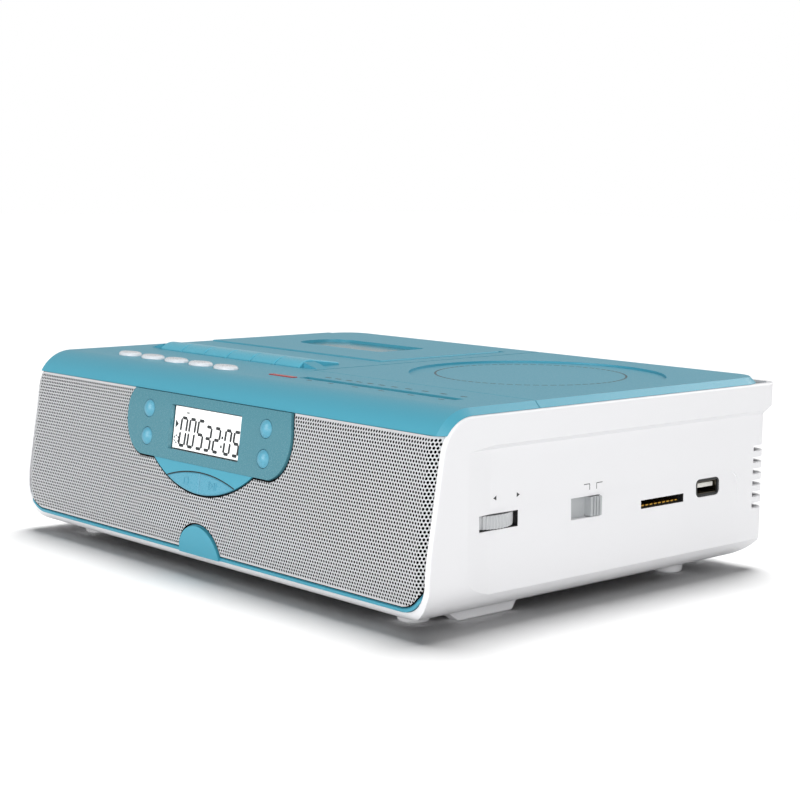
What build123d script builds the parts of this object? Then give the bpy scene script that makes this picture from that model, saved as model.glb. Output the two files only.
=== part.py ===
from build123d import *
import math
import os

# CD boombox with a cassette deck and a radio.
# Millimetres. The origin is on the table under the middle of the case.
# +X is to the listener's right, +Y to the back, +Z up.

os.makedirs("parts", exist_ok=True)

# Case envelope and the gaps used all over it
case_width = 262.0
case_depth = 197.0
deck_z = 79.0
foot_height = 5.0
shell = 2.4
deck_thickness = 2.5
seam = 0.1
gap = 0.4
press_gap = 0.1
run_gap = 0.05
half_width = case_width / 2
y_rear = case_depth / 2
far = case_width

# Side view of the case
front_lean = 7.15
front_tuck = 10.0
front_proud = 0.8
nose_z = 20.0
nose_radius = 60.0
top_front_radius = 17.0
front_bottom_radius = 5.0
rear_bottom_radius = 20.0
bottom_edge_radius = 14.0
deck_bevel = 2.5
deck_inboard = 0.8
deck_corner_radius = 14.0
deck_rear = y_rear - 5.5
y_nose = -y_rear + front_proud

# Rim band above the lower walls
band_bottom_z = 63.8
band_proud_side = 1.6
band_proud_rear = 3.5
band_corner_radius = 7.0
band_ramp_front = -78.0
band_ramp_length = 12.0
cover_parting_z = 7.2
lower_half_width = half_width - band_proud_side
lower_rear = y_rear - band_proud_rear
inner_half_width = lower_half_width - shell
inner_rear = lower_rear - shell

# Grille, front panel and lip
grille_half_width = 129.2
grille_thickness = 0.8
grille_bevel = 3.2
grille_bottom_z = 10.0
grille_top_z = 70.3
grille_corner_radius = 12.0
front_panel_thickness = 2.3
front_strip_height = 1.3
bump_half_width = 13.0
bump_height = 10.8

# Display and the keys round it
bezel_half_top = 51.0
bezel_half_middle = 53.5
bezel_half_bottom = 42.0
bezel_bottom_z = 44.3
bezel_thickness = 3.0
lcd_width = 46.2
lcd_bottom_z = 48.6
lcd_top_z = 66.2
lcd_depth = 1.0
lcd_thickness = 3.0
round_key_radius = 3.5
round_key_x = 38.4
round_key_rows = (63.0, 51.8)
round_key_proud = 1.6
lobe_half_width = 32.5
lobe_drop = 11.2
lens_half_width = 22.0
lens_rise = 3.4
front_key_travel = 0.8

# Disc side, placed from the rear edge and the right wall
lid_left = 4.0
lid_length = 135.5
lid_front = deck_rear - lid_length
lid_pivot_setback = 5.4
lid_pivot_y = deck_rear - lid_pivot_setback
lid_pivot_z = 73.5
lid_pin_radius = 1.5
disc_from_wall = 64.4
disc_from_rear = 72.0
disc_x = half_width - disc_from_wall
disc_y = deck_rear - disc_from_rear
well_radius = 60.7
well_side_gap = 0.6
well_lap = 3.0
well_rear_gap = 10.0
well_left = lid_left + well_side_gap
well_right = half_width - shell - 0.3
well_front = lid_front - well_lap
well_back = deck_rear - well_rear_gap
well_top_z = 76.3
well_floor_z = 68.0
well_bottom_z = 66.0
ring_radius = 52.0
drive_plate_z = 58.0
pickup_inner = 24.0

# Cassette side, placed from the rear edge and the left wall
door_side_margin = 5.0
door_rear_margin = 17.0
door_length = 74.5
middle_bar = 9.0
door_left = -half_width + door_side_margin
door_right = lid_left - middle_bar
door_middle = (door_left + door_right) / 2
door_back = deck_rear - door_rear_margin
door_front = door_back - door_length
door_proud = 0.6
door_pivot_y = door_back - 0.8
door_pivot_z = 73.6
door_pin_radius = 1.4
cassette_margin = 3.5
cassette_x = door_middle + 0.5
cassette_front = door_front + cassette_margin
cassette_width = 100.4
cassette_depth = 63.8
reel_spacing = 42.5
reel_from_front = 33.0
window_half_width = 32.0
window_length = 28.5
window_margin = 24.5
window_front = door_front + window_margin
window_back = window_front + window_length
deck_plate_z = 60.8
deck_plate_thickness = 1.2
capstan_offset = 31.0
capstan_depth = 8.0
capstan_x = cassette_x + capstan_offset
capstan_y = cassette_front + capstan_depth
head_travel = 5.0

# Cassette keys
piano_names = (
    "record_key",
    "play_key",
    "rewind_key",
    "fast_forward_key",
    "stop_eject_key",
    "pause_key",
)
piano_margin = 24.0
piano_pitch = 16.7
piano_gap = 0.5
piano_length = 21.5
piano_arm = 6.0
piano_to_door = 21.5
piano_left = -half_width + piano_margin
piano_back_y = door_front - piano_to_door
piano_front_y = piano_back_y - piano_length
piano_top_z = 82.0
piano_pivot_y = piano_back_y + piano_arm
piano_pivot_z = 73.2
piano_edge = 0.6
key_shaft_radius = 1.5

# Oval keys, lamp and dial in the strip between the front and the lid
strip_middle = (y_nose + lid_front) / 2
oval_count = 5
oval_pitch = 17.4
oval_margin = 40.0
oval_first_x = -half_width + oval_margin
oval_y = strip_middle + 2.1
oval_length = 13.4
oval_width = 8.0
oval_proud = 1.5
oval_travel = 0.8
dial_left = 22.0
dial_margin = 21.0
dial_right = half_width - dial_margin
dial_from_middle = 7.6
dial_y = strip_middle + dial_from_middle
dial_slot_width = 5.0
lamp_left = 6.0
lamp_length = 15.0
lamp_half_width = 1.2
lamp_from_middle = 4.1
lamp_y = strip_middle + lamp_from_middle

# Controls in the right wall
wheel_y = dial_y + 1.0
wheel_window_width = 20.0
wheel_window_bottom = 35.0
wheel_window_top = 40.8
wheel_radius = 15.0
wheel_thickness = 4.8
usb_from_rear = 42.5
usb_y = y_rear - usb_from_rear
socket_spacing = 27.75
sd_y = usb_y - socket_spacing
sd_width = 25.5
sd_bottom = 33.2
sd_height = 3.3
usb_width = 14.7
usb_bottom = 33.7
usb_height = 7.2
usb_corner = 2.2
usb_depth = 14.0
switch_y = (wheel_y + sd_y) / 2 + 0.825
switch_window_width = 15.8
switch_window_bottom = 33.6
switch_window_top = 41.6
switch_travel = 8.6
pocket_top_z = 42.6
pocket_bottom_z = 28.0
pocket_depth = 0.5
pocket_front_margin = 12.5
pocket_rear_margin = 19.0
pocket_front_y = wheel_y - pocket_front_margin
pocket_back_y = usb_y + pocket_rear_margin
pocket_corner = 6.0

# Rear vents and mains inlet
vent_count = 6
vent_top_z = 51.1
vent_pitch = 4.7
vent_height = 2.3
vent_side_length = 13.8
vent_rear_length = 35.0
vent_side_y = y_rear - vent_side_length
vent_rear_x = half_width - vent_rear_length
inlet_from_wall = 76.0
inlet_x = half_width - inlet_from_wall
inlet_z = 24.0

# Loudspeakers
speaker_from_wall = 51.0
speaker_x = half_width - speaker_from_wall
speaker_z = 36.0
speaker_radius = 26.0
speaker_rim = 2.5

# Slopes of the front and the levels under the deck
lean = math.radians(front_lean)
tuck = math.radians(front_tuck)
nose_excess = nose_radius * ((math.sin(lean) + math.sin(tuck)) / math.sin(lean + tuck) - 1)
nose_y = y_nose - nose_excess
deck_under = deck_z - deck_thickness
wall_top = deck_under - seam
deck_half_width = half_width - deck_inboard


def block(x, y, z):
    """Box between low and high limits on each axis."""
    size = [high - low for low, high in (x, y, z)]
    middle = [(high + low) / 2 for low, high in (x, y, z)]
    return Pos(*middle) * Box(*size)


def post(x, y, z, radius):
    """Upright cylinder between two heights."""
    return Pos(x, y, (z[0] + z[1]) / 2) * Cylinder(radius, z[1] - z[0])


def cross_pin(x, y, z, radius):
    """Cylinder lying along X between two places."""
    turned = Rot(0, 90, 0) * Cylinder(radius, x[1] - x[0])
    return Pos((x[0] + x[1]) / 2, y, z) * turned


def inset_corners(points, distance):
    """Corners of an anticlockwise outline moved inwards by one distance."""
    moved = []
    count = len(points)
    for i in range(count):
        before = Vector(*points[i - 1])
        here = Vector(*points[i])
        after = Vector(*points[(i + 1) % count])
        first = (here - before).normalized().rotate(Axis.Z, 90)
        second = (after - here).normalized().rotate(Axis.Z, 90)
        shift = (first + second) * (distance / (1 + first.dot(second)))
        moved.append((here.X + shift.X, here.Y + shift.Y))
    return moved


def outline(points, radii):
    """Face bounded by straight runs with rounded corners."""
    return make_face(FilletPolyline(*points, radius=radii, close=True).edges())


side_corners = [
    (y_rear, foot_height),
    (y_rear, deck_z),
    (nose_y + (deck_z - nose_z) * math.tan(lean), deck_z),
    (nose_y, nose_z),
    (nose_y + (nose_z - foot_height) * math.tan(tuck), foot_height),
]
side_radii = [rear_bottom_radius, 0, top_front_radius, nose_radius, front_bottom_radius]


def side_prism(inset, half):
    """The whole case's side view, moved inwards and drawn out to a width."""
    radii = [max(radius - inset, 0) if radius else 0 for radius in side_radii]
    face = Plane.YZ * outline(inset_corners(side_corners, inset), radii)
    return extrude(face, half, both=True)


def bevelled_form(inset, half, bevel):
    """Side view prism whose two end faces are bevelled all round."""
    prism = side_prism(inset, half)
    ends = prism.faces().filter_by(Axis.X).edges()
    return chamfer(ends, bevel)


def front_prism(points, radii):
    """Front view outline driven through the front of the case."""
    face = Plane.XZ * outline(points, radii)
    return Pos(0, y_nose + 20, 0) * extrude(face, 40, both=True)


def plan_prism(points, radii, low, high):
    """Plan view outline between two heights."""
    return Pos(0, 0, low) * extrude(outline(points, radii), high - low)


front_face = Plane(
    origin=(0, nose_y, nose_z),
    x_dir=(1, 0, 0),
    z_dir=(0, -math.cos(lean), math.sin(lean)),
)


def up_face(z):
    """Distance up the leaning front from the nose line to a height."""
    return (z - nose_z) / math.cos(lean)


def on_front(sketch, depth, thickness):
    """Solid from an outline on the leaning front, its outer face at a depth."""
    solid = extrude(sketch, -thickness)
    return front_face * Pos(0, 0, -depth) * solid


# White lower case: side walls, back, rim band and the lip under the grille
white_front_inset = 1.0
white_top_inset = deck_thickness + gap
inner_bottom_z = foot_height + 0.6
band_inner_z = band_bottom_z + 3.7
front_opening_gap = 0.2
front_opening_half = grille_half_width + front_opening_gap
front_opening_bottom = grille_bottom_z - front_strip_height - front_opening_gap
front_opening_depth = 12.0
side_front_fillet = 1.2

white_top_corner = nose_y + (wall_top - nose_z) * math.tan(lean) + white_top_inset
white_front_corners = [
    (white_top_corner, wall_top),
    (nose_y + white_front_inset, nose_z),
    (side_corners[4][0] + white_front_inset, foot_height),
]


def case_side_outline():
    """Side view of the white case, with its rear wall stepping out to the band."""
    rear = [
        (lower_rear, foot_height),
        (lower_rear, band_bottom_z),
        (far, band_bottom_z + 1),
        (far, wall_top),
    ]
    radii = [rear_bottom_radius, 0, 0, 0]
    radii += [top_front_radius - deck_thickness, nose_radius, front_bottom_radius]
    return Plane.YZ * outline(rear + white_front_corners, radii)


def lower_plan(grow):
    """Plan view of the lower walls, which run out to full width at the front."""
    wide = half_width + grow
    narrow = lower_half_width + grow
    ramp_back = band_ramp_front + band_ramp_length
    right = [
        (wide, -far),
        (wide, band_ramp_front),
        (narrow, ramp_back),
        (narrow, lower_rear + grow),
    ]
    left = [(-x, y) for x, y in reversed(right)]
    corner = band_corner_radius + grow
    return outline(right + left, [0, 0, 0, corner, corner, 0, 0, 0])


def case_envelope():
    """Solid outer form of the white case and its bottom cover together."""
    prism = extrude(case_side_outline(), half_width, both=True)
    front_edges = [
        edge
        for edge in prism.faces().filter_by(Axis.X).edges()
        if edge.center().Y < y_nose + top_front_radius + 8 and edge.center().Z > foot_height + 0.5
    ]
    prism = fillet(front_edges, side_front_fillet)
    band = [(half_width, -far), (half_width, y_rear), (-half_width, y_rear), (-half_width, -far)]
    corners = [0, band_corner_radius, band_corner_radius, 0]
    prism &= plan_prism(band, corners, 0, far)
    front_view = [
        (-half_width, foot_height),
        (half_width, foot_height),
        (half_width, far),
        (-half_width, far),
    ]
    edge = Plane.XZ * outline(front_view, [bottom_edge_radius, bottom_edge_radius, 0, 0])
    prism &= extrude(edge, far, both=True)
    stack = extrude(lower_plan(0), band_bottom_z)
    flare_low = Pos(0, 0, band_bottom_z) * lower_plan(0)
    flare_high = Pos(0, 0, band_bottom_z + band_proud_rear) * lower_plan(band_proud_rear)
    stack += loft([flare_low, flare_high], ruled=True)
    stack += block((-far, far), (-far, far), (band_bottom_z + band_proud_rear, far))
    return prism & stack


def case_cavity():
    """Space inside the white case."""
    side_view = [
        (inner_rear, inner_bottom_z),
        (inner_rear, far),
        (white_top_corner + shell, far),
        (nose_y + white_front_inset + shell, nose_z),
        (side_corners[4][0] + white_front_inset + shell, inner_bottom_z),
    ]
    face = Plane.YZ * outline(side_view, [rear_bottom_radius, 0, 0, nose_radius, 2])
    room = extrude(face, inner_half_width, both=True)
    front_view = [
        (-inner_half_width, inner_bottom_z),
        (inner_half_width, inner_bottom_z),
        (inner_half_width, far),
        (-inner_half_width, far),
    ]
    edge = Plane.XZ * outline(front_view, [bottom_edge_radius, bottom_edge_radius, 0, 0])
    room &= extrude(edge, far, both=True)
    rim_side = half_width - shell
    rim_rear = y_rear - shell
    rim = [(rim_side, -far), (rim_side, rim_rear), (-rim_side, rim_rear), (-rim_side, -far)]
    corner = band_corner_radius - shell
    room += plan_prism(rim, [0, corner, corner, 0], band_inner_z, far)
    return room


def front_opening():
    """Opening for the grille and the panel behind it."""
    points = [
        (-front_opening_half, front_opening_bottom),
        (front_opening_half, front_opening_bottom),
        (front_opening_half, far),
        (-front_opening_half, far),
    ]
    radius = grille_corner_radius + front_opening_gap
    prism = front_prism(points, [radius, radius, 0, 0])
    return prism & block((-far, far), (-far, y_nose + front_opening_depth), (0, far))


side_windows = [
    (wheel_y, wheel_window_width, wheel_window_bottom, wheel_window_top),
    (switch_y, switch_window_width, switch_window_bottom, switch_window_top),
    (sd_y, sd_width, sd_bottom, sd_bottom + sd_height),
]
screw_margin = 8.0
screw_behind_wheel = 13.5
screw_from_rear = 32.5
screw_x = inner_half_width - screw_margin
screw_rows = (wheel_y + screw_behind_wheel, y_rear - screw_from_rear)
screw_places = [(side * screw_x, y) for side in (-1, 1) for y in screw_rows]
screw_radius = 1.5
screw_boss_half = 4.0
screw_boss_top = 21.0
screw_head_low = foot_height + 0.95
screw_head_high = foot_height + 1.6
inlet_half_width = 10.3
inlet_half_height = 5.3


def usb_outline(grow):
    """Front shape of the USB socket's opening."""
    width = usb_width + 2 * grow
    height = usb_height + 2 * grow
    sketch = RectangleRounded(width, height, usb_corner + grow)
    return Plane.YZ * Pos(usb_y, usb_bottom + usb_height / 2) * sketch


def control_pocket():
    """Shallow pocket in the right wall round the controls, fading out below."""
    wall_low = Pos(0, 0, pocket_bottom_z) * lower_plan(0)
    wall_high = Pos(0, 0, pocket_top_z) * lower_plan(-pocket_depth)
    wedge = block((inner_half_width, far), (-far, far), (pocket_bottom_z, pocket_top_z))
    wedge -= loft([wall_low, wall_high], ruled=True)
    length = pocket_back_y - pocket_front_y
    height = 2 * (pocket_top_z - pocket_bottom_z)
    middle = (pocket_front_y + pocket_back_y) / 2
    sketch = RectangleRounded(length, height, pocket_corner)
    face = Plane.YZ * Pos(middle, pocket_top_z - height / 2) * sketch
    return wedge & extrude(face, far)


def lower_case():
    envelope = case_envelope()
    case = envelope - block((-far, far), (-far, far), (-far, cover_parting_z))
    case -= case_cavity()
    case -= front_opening()
    case -= control_pocket()
    for y, width, low, high in side_windows:
        case -= block((inner_half_width - 5, far), (y - width / 2, y + width / 2), (low, high))
    case -= extrude(usb_outline(0), far)
    for i in range(vent_count):
        low = vent_top_z - vent_height - i * vent_pitch
        case -= block((vent_rear_x, far), (vent_side_y, far), (low, low + vent_height))
    for x, y in screw_places:
        outer = math.copysign(inner_half_width + 1, x)
        inner = x - math.copysign(screw_boss_half, x)
        span = (min(outer, inner), max(outer, inner))
        boss = block(span, (y - screw_boss_half, y + screw_boss_half), (cover_parting_z, screw_boss_top))
        case += boss & envelope
        case -= post(x, y, (0, screw_boss_top - 2), screw_radius + 0.02)
    inlet_x_span = (inlet_x - inlet_half_width, inlet_x + inlet_half_width)
    inlet_z_span = (inlet_z - inlet_half_height, inlet_z + inlet_half_height)
    case -= block(inlet_x_span, (inner_rear - 5, far), inlet_z_span)
    return case


# White bottom cover: floor, feet, side blocks and the posts of the main board
board_z = 30.0
board_thickness = 1.6
board_width = 42.0
board_front_margin = 26.2
board_rear_margin = 20.0
board_right = inner_half_width - 1.0
board_left = board_right - board_width
board_front = switch_y - board_front_margin
board_back = usb_y + board_rear_margin
foot_radius = 6.0
front_foot_margins = (28.0, 21.5)
rear_foot_margins = (22.5, 40.5)
foot_corners = [
    (half_width - front_foot_margins[0], -y_rear + front_foot_margins[1]),
    (half_width - rear_foot_margins[0], y_rear - rear_foot_margins[1]),
]
foot_places = [(side * x, y) for side in (-1, 1) for x, y in foot_corners]
foot_block_width = 6.0
foot_block_length = 39.0
foot_block_margins = (15.5, 23.5)
foot_block_outer = half_width - foot_block_margins[0]
foot_block_inner = foot_block_outer - foot_block_width
foot_block_front = -y_rear + foot_block_margins[1]
foot_block_back = foot_block_front + foot_block_length
board_posts = [(board_left + 5, board_front + 5), (board_right - 12, board_front + 5)]
board_posts.append((board_left + 5, board_back - 5))


def foot_block(side):
    """Long foot whose ends slope up to the floor."""
    face = Plane.YZ * make_face(
        Polyline(
            (foot_block_front, foot_height + 1),
            (foot_block_front + 9, 0),
            (foot_block_back - 4, 0),
            (foot_block_back, foot_height + 1),
            close=True,
        )
    )
    middle = side * (foot_block_inner + foot_block_outer) / 2
    body = Pos(middle, 0, 0) * extrude(face, (foot_block_outer - foot_block_inner) / 2, both=True)
    return fillet(body.edges().filter_by(GeomType.LINE).group_by(Axis.Z)[0], 1.2)


def bottom_cover():
    cover = case_envelope() & block((-far, far), (-far, far), (0, cover_parting_z))
    for x, y in foot_places:
        foot = post(x, y, (0, foot_height + 1), foot_radius)
        cover += fillet(foot.faces().sort_by(Axis.Z)[0].edges(), 1.2)
    for side in (-1, 1):
        cover += foot_block(side)
    for x, y in screw_places:
        cover -= post(x, y, (0, far), screw_radius + 0.3)
        cover -= post(x, y, (0, screw_head_high), 2 * screw_radius + 0.3)
    for x, y in board_posts:
        cover += post(x, y, (cover_parting_z - 1, board_z), 3)
    return cover


def case_screws():
    screws = []
    for x, y in screw_places:
        shank = post(x, y, (screw_head_high, screw_boss_top - 3), screw_radius)
        head = post(x, y, (screw_head_low, screw_head_high), 2 * screw_radius)
        for half_x, half_y in ((2.2, 0.4), (0.4, 2.2)):
            head -= block((x - half_x, x + half_x), (y - half_y, y + half_y), (0, screw_head_low + 0.4))
        screws.append(shank + head)
    return screws


# Front: teal panel with its bump and key surround, grille, display and front keys
lobe_radius = (lobe_half_width**2 + lobe_drop**2) / (2 * lobe_drop)
bezel_low = up_face(bezel_bottom_z)
lobe_low = bezel_low - lobe_drop
panel_inset = grille_thickness + seam
strip_inset = 0.2
speaker_seat_depth = 6.4
grille_return = 11.0
panel_back = panel_inset + front_panel_thickness


def front_form(inset):
    """Form of the grille moved inwards, its slanted ends with it."""
    return bevelled_form(inset, grille_half_width - inset, grille_bevel - inset * (2 - math.sqrt(2)))


def front_layer(outer, inner, depth):
    """Sheet between two insets of the front, with bent ends that run back to a depth."""
    sheet = front_form(outer) - front_form(inner)
    return sheet & block((-far, far), (-far, y_nose + depth), (0, far))


def bezel_sketch(grow=0.0):
    """Shape of the display bezel on the leaning front."""
    top = up_face(grille_top_z) + (grow if grow > 0 else 2 * grow)
    low = bezel_low - grow
    middle = (top + low) / 2 + 1
    bottom_half = bezel_half_bottom + grow
    middle_half = bezel_half_middle + grow
    top_half = bezel_half_top + grow
    shoulder = (middle_half - 3.2, low + 5.5)
    right_side = Spline((top_half, top), (middle_half, middle), shoulder, (bottom_half, low))
    left_side = mirror(right_side, Plane.YZ)
    base = Line((bottom_half, low), (-bottom_half, low))
    head = Line((top_half, top), (-top_half, top))
    return make_face([right_side, base, left_side, head])


def lobe_sketch(grow=0.0):
    """Segment of a circle hanging under the bezel."""
    centre = lobe_low + lobe_radius
    disc = Pos(0, centre) * Circle(lobe_radius + grow)
    window = Pos(0, bezel_low - grow - lobe_drop) * Rectangle(4 * lobe_half_width, 2 * lobe_drop)
    return disc & window


def lens_sketch(grow=0.0):
    """Lens between the surround's lower edge and a flatter arc above it."""
    centre = lobe_low + lobe_radius
    tip = centre - math.sqrt(lobe_radius**2 - lens_half_width**2)
    upper_radius = (lens_half_width**2 + lens_rise**2) / (2 * lens_rise)
    upper = Pos(0, tip + lens_rise - upper_radius) * Circle(upper_radius + grow)
    lower = Pos(0, centre) * Circle(lobe_radius + grow)
    return upper & lower


def bump_sketch(grow=0.0):
    """Half-round shape that stands on the front strip."""
    base = up_face(grille_bottom_z) - front_strip_height
    shape = Pos(0, base) * Ellipse(bump_half_width + grow, bump_height + front_strip_height + grow)
    return shape & Pos(0, base + far / 2) * Rectangle(far, far)


def on_front_through(sketch):
    """Cutter from an outline on the leaning front, right through the front."""
    return on_front(sketch, -10, 25)


def front_view_mask(bottom):
    """Front view of the grille's field, its lower corners rounded."""
    half = grille_half_width
    points = [(-half, bottom), (half, bottom), (half, grille_top_z), (-half, grille_top_z)]
    return front_prism(points, [grille_corner_radius, grille_corner_radius, 0, 0])


def proud_sheet(proud):
    """Sheet that stands proud of the grille and reaches the panel's back."""
    return side_prism(-proud, half_width) - side_prism(panel_back, far)


def front_panel():
    strip_mask = front_view_mask(grille_bottom_z - front_strip_height)
    panel = front_layer(panel_inset, panel_back, front_opening_depth) & strip_mask
    strip = front_layer(strip_inset, panel_back, front_opening_depth) & strip_mask
    panel += strip - front_view_mask(grille_bottom_z - seam)
    panel += proud_sheet(front_proud) & on_front_through(bump_sketch()) & strip_mask
    panel += proud_sheet(front_proud / 2) & on_front_through(lobe_sketch())
    inside = side_prism(panel_inset + 1, half_width)
    for side in (-1, 1):
        ring = Circle(speaker_radius) - Circle(speaker_radius - speaker_rim)
        ring = Pos(side * speaker_x, up_face(speaker_z)) * ring
        panel += on_front(ring, 0, speaker_seat_depth) & inside
    panel -= on_front_through(bezel_sketch(press_gap))
    panel -= on_front_through(lens_sketch(gap / 2))
    for side in (-1, 1):
        opening = Pos(side * speaker_x, up_face(speaker_z)) * Circle(speaker_radius - speaker_rim)
        panel -= on_front_through(opening)
    return panel


def speaker_grille():
    """Steel sheet with bent ends, cut out round the bezel, the key surround and the bump."""
    sheet = front_layer(0, grille_thickness, grille_return) & front_view_mask(grille_bottom_z)
    sheet -= on_front_through(bezel_sketch(gap / 2))
    sheet -= on_front_through(lobe_sketch(gap / 2))
    sheet -= on_front_through(bump_sketch(gap / 2))
    return sheet


def round_key_places():
    return [(side * round_key_x, up_face(z)) for z in round_key_rows for side in (-1, 1)]


lcd_middle = up_face((lcd_bottom_z + lcd_top_z) / 2)
lcd_height = up_face(lcd_top_z) - up_face(lcd_bottom_z)
bezel_back = bezel_thickness - front_proud
lcd_frame_depth = bezel_back + 0.6
switch_depth = bezel_back + 2.4
key_back = switch_depth - front_key_travel - seam


def display_bezel():
    """Frame of the display, rounded over the top edge with the case."""
    ring = side_prism(-front_proud, half_width) - side_prism(bezel_back, far)
    bezel = ring & on_front_through(bezel_sketch())
    bezel -= on_front_through(Pos(0, lcd_middle) * Rectangle(lcd_width, lcd_height))
    for place in round_key_places():
        bezel -= on_front_through(Pos(*place) * Circle(round_key_radius + gap / 2))
    return bezel


def lcd_panel():
    """Glass of the liquid crystal display, standing in the bezel's window on its frame."""
    glass = Pos(0, lcd_middle) * Rectangle(lcd_width - 2 * press_gap, lcd_height - 2 * press_gap)
    frame = Pos(0, lcd_middle) * Rectangle(lcd_width + 4, lcd_height + 2)
    glass = on_front(glass, lcd_depth, lcd_frame_depth + lcd_thickness - lcd_depth)
    return glass + on_front(frame, lcd_frame_depth, lcd_thickness)


board_depth = lcd_frame_depth + lcd_thickness


def control_board():
    low = bezel_low - lobe_drop
    high = up_face(grille_top_z) - 6
    width = 2 * bezel_half_middle - 6
    plate = Pos(0, (low + high) / 2) * Rectangle(width, high - low)
    board = on_front(plate, board_depth, 1.6)
    for side in (-1, 1):
        stand = Pos(side * (width / 2 - 3), up_face(sum(round_key_rows) / 2)) * Circle(2)
        board += on_front(stand, bezel_back + seam, board_depth - bezel_back)
        for z in round_key_rows:
            switch = Pos(side * round_key_x, up_face(z)) * Rectangle(6, 6)
            board += on_front(switch, switch_depth, board_depth - switch_depth + 0.5)
        switch = Pos(side * lens_half_width / 2, bezel_low - lobe_drop / 2 - 2) * Rectangle(6, 5)
        board += on_front(switch, switch_depth, board_depth - switch_depth + 0.5)
    return board


def round_key(x, height):
    """Domed round key that pokes through the bezel."""
    body = on_front(Pos(x, height) * Circle(round_key_radius), -front_proud, front_proud + key_back)
    dome_radius = (round_key_radius**2 + round_key_proud**2) / (2 * round_key_proud)
    ball = front_face * Pos(x, height, front_proud + round_key_proud - dome_radius) * Sphere(dome_radius)
    cap = ball & on_front(Pos(x, height) * Circle(round_key_radius), -front_proud - 3, 3)
    flange_depth = bezel_back + 0.6
    rim = Pos(x, height) * Circle(round_key_radius + 0.9)
    return body + cap + on_front(rim, flange_depth, key_back - flange_depth)


lens_middle_gap = 0.2
lens_rim = 0.4


def lens_key(side):
    """Half of the lens, with its rim eased."""
    half = Pos(side * (far / 2 + lens_middle_gap / 2), lobe_low) * Rectangle(far, far)
    sketch = lens_sketch() & half
    key = on_front(sketch, -front_proud, front_proud + key_back)
    outward = Axis(front_face.origin, front_face.z_dir)
    return chamfer(key.faces().sort_by(outward)[-1].edges(), lens_rim)


# Teal top cover with everything that is cut through it or hangs under it
lid_gap = gap / 2
key_well_front = piano_front_y - 0.9
key_well_back = piano_back_y + gap
key_well_left = piano_left - gap
key_well_right = piano_left + piano_pitch * len(piano_names) + gap
deck_plate_top = deck_plate_z + deck_plate_thickness
deck_post_left = -screw_x
deck_post_right = lid_left - 4.5
deck_post_back = door_back + 6.0
deck_posts = [(x, deck_post_back) for x in (deck_post_left, deck_post_right)]
deck_posts += [(deck_post_left, piano_pivot_y + 4.0), (deck_post_right, piano_pivot_y + 6.0)]
deck_post_radius = 2.6
door_back_gap = 1.6
door_under = deck_under + 0.2
door_arm_outer = 55.2
door_arm_inner = 52.3
door_ear_outer = 59.0
door_ear_inner = 55.6
door_ear_back = door_back + 6.0
dial_window_z = (76.9, 77.9)
rail_y = (dial_y + 2.9, dial_y + 4.1)
rail_bottom = 72.0
lamp_flange_bottom = deck_under - 2.2
key_stem_bottom = deck_under - 3.4
key_board_top = 69.0
key_board_post_margins = (11.5, 10.0)
key_board_post_left = oval_first_x - key_board_post_margins[0]
key_board_post_right = lamp_left - key_board_post_margins[1]
key_board_posts = [(x, oval_y + 2.0) for x in (key_board_post_left, key_board_post_right)]


def deck_shell():
    """Bevelled teal shell before it is divided into cover and lid."""
    form = bevelled_form(0, deck_half_width, deck_bevel)
    points = [
        (deck_half_width, -far),
        (deck_half_width, deck_rear),
        (-deck_half_width, deck_rear),
        (-deck_half_width, -far),
    ]
    plan = plan_prism(points, [0, deck_corner_radius, deck_corner_radius, 0], grille_top_z - 5, deck_z)
    plan = chamfer(plan.faces().sort_by(Axis.Z)[-1].edges(), deck_bevel)
    shell_form = (form & plan) - side_prism(deck_thickness, far)
    return shell_form - block((-far, far), (-far, -30), (0, grille_top_z + seam))


def oval(x, z_low, z_high, grow=0.0):
    sketch = Ellipse(oval_length / 2 + grow, oval_width / 2 + grow)
    return Pos(x, oval_y, z_low) * extrude(sketch, z_high - z_low)


def oval_places():
    return [oval_first_x + i * oval_pitch for i in range(oval_count)]


def lid_region(inset):
    return block((lid_left + inset, far), (lid_front + inset, far), (deck_under - 2, far))


def key_gusset(side):
    """Low wedge that leads from the deck up to the end key."""
    end = key_well_right if side > 0 else key_well_left
    top = piano_top_z - 0.8
    tip = end + side * 9
    corners = [(end, deck_z - 1), (end, top), (tip, deck_z), (tip, deck_z - 1)]
    face = Plane.XZ * make_face(Polyline(*corners, close=True))
    back = piano_front_y + 8.0
    return Pos(0, back, 0) * extrude(face, 6)


def door_ears():
    """Two ears under the deck that hold the cassette door's pins."""
    ears = []
    for side in (-1, 1):
        x = sorted((door_middle + side * door_ear_inner, door_middle + side * door_ear_outer))
        ear = cross_pin(x, door_pivot_y, door_pivot_z, 2.8)
        ear += block(x, (door_pivot_y, door_ear_back), (door_pivot_z - 2.8, door_pivot_z + 0.6))
        ear += block(x, (door_back + 2.9, door_ear_back), (door_pivot_z, deck_under + 0.5))
        ear -= cross_pin((x[0] - 1, x[1] + 1), door_pivot_y, door_pivot_z, door_pin_radius + run_gap)
        ears.append(ear)
    return ears


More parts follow.
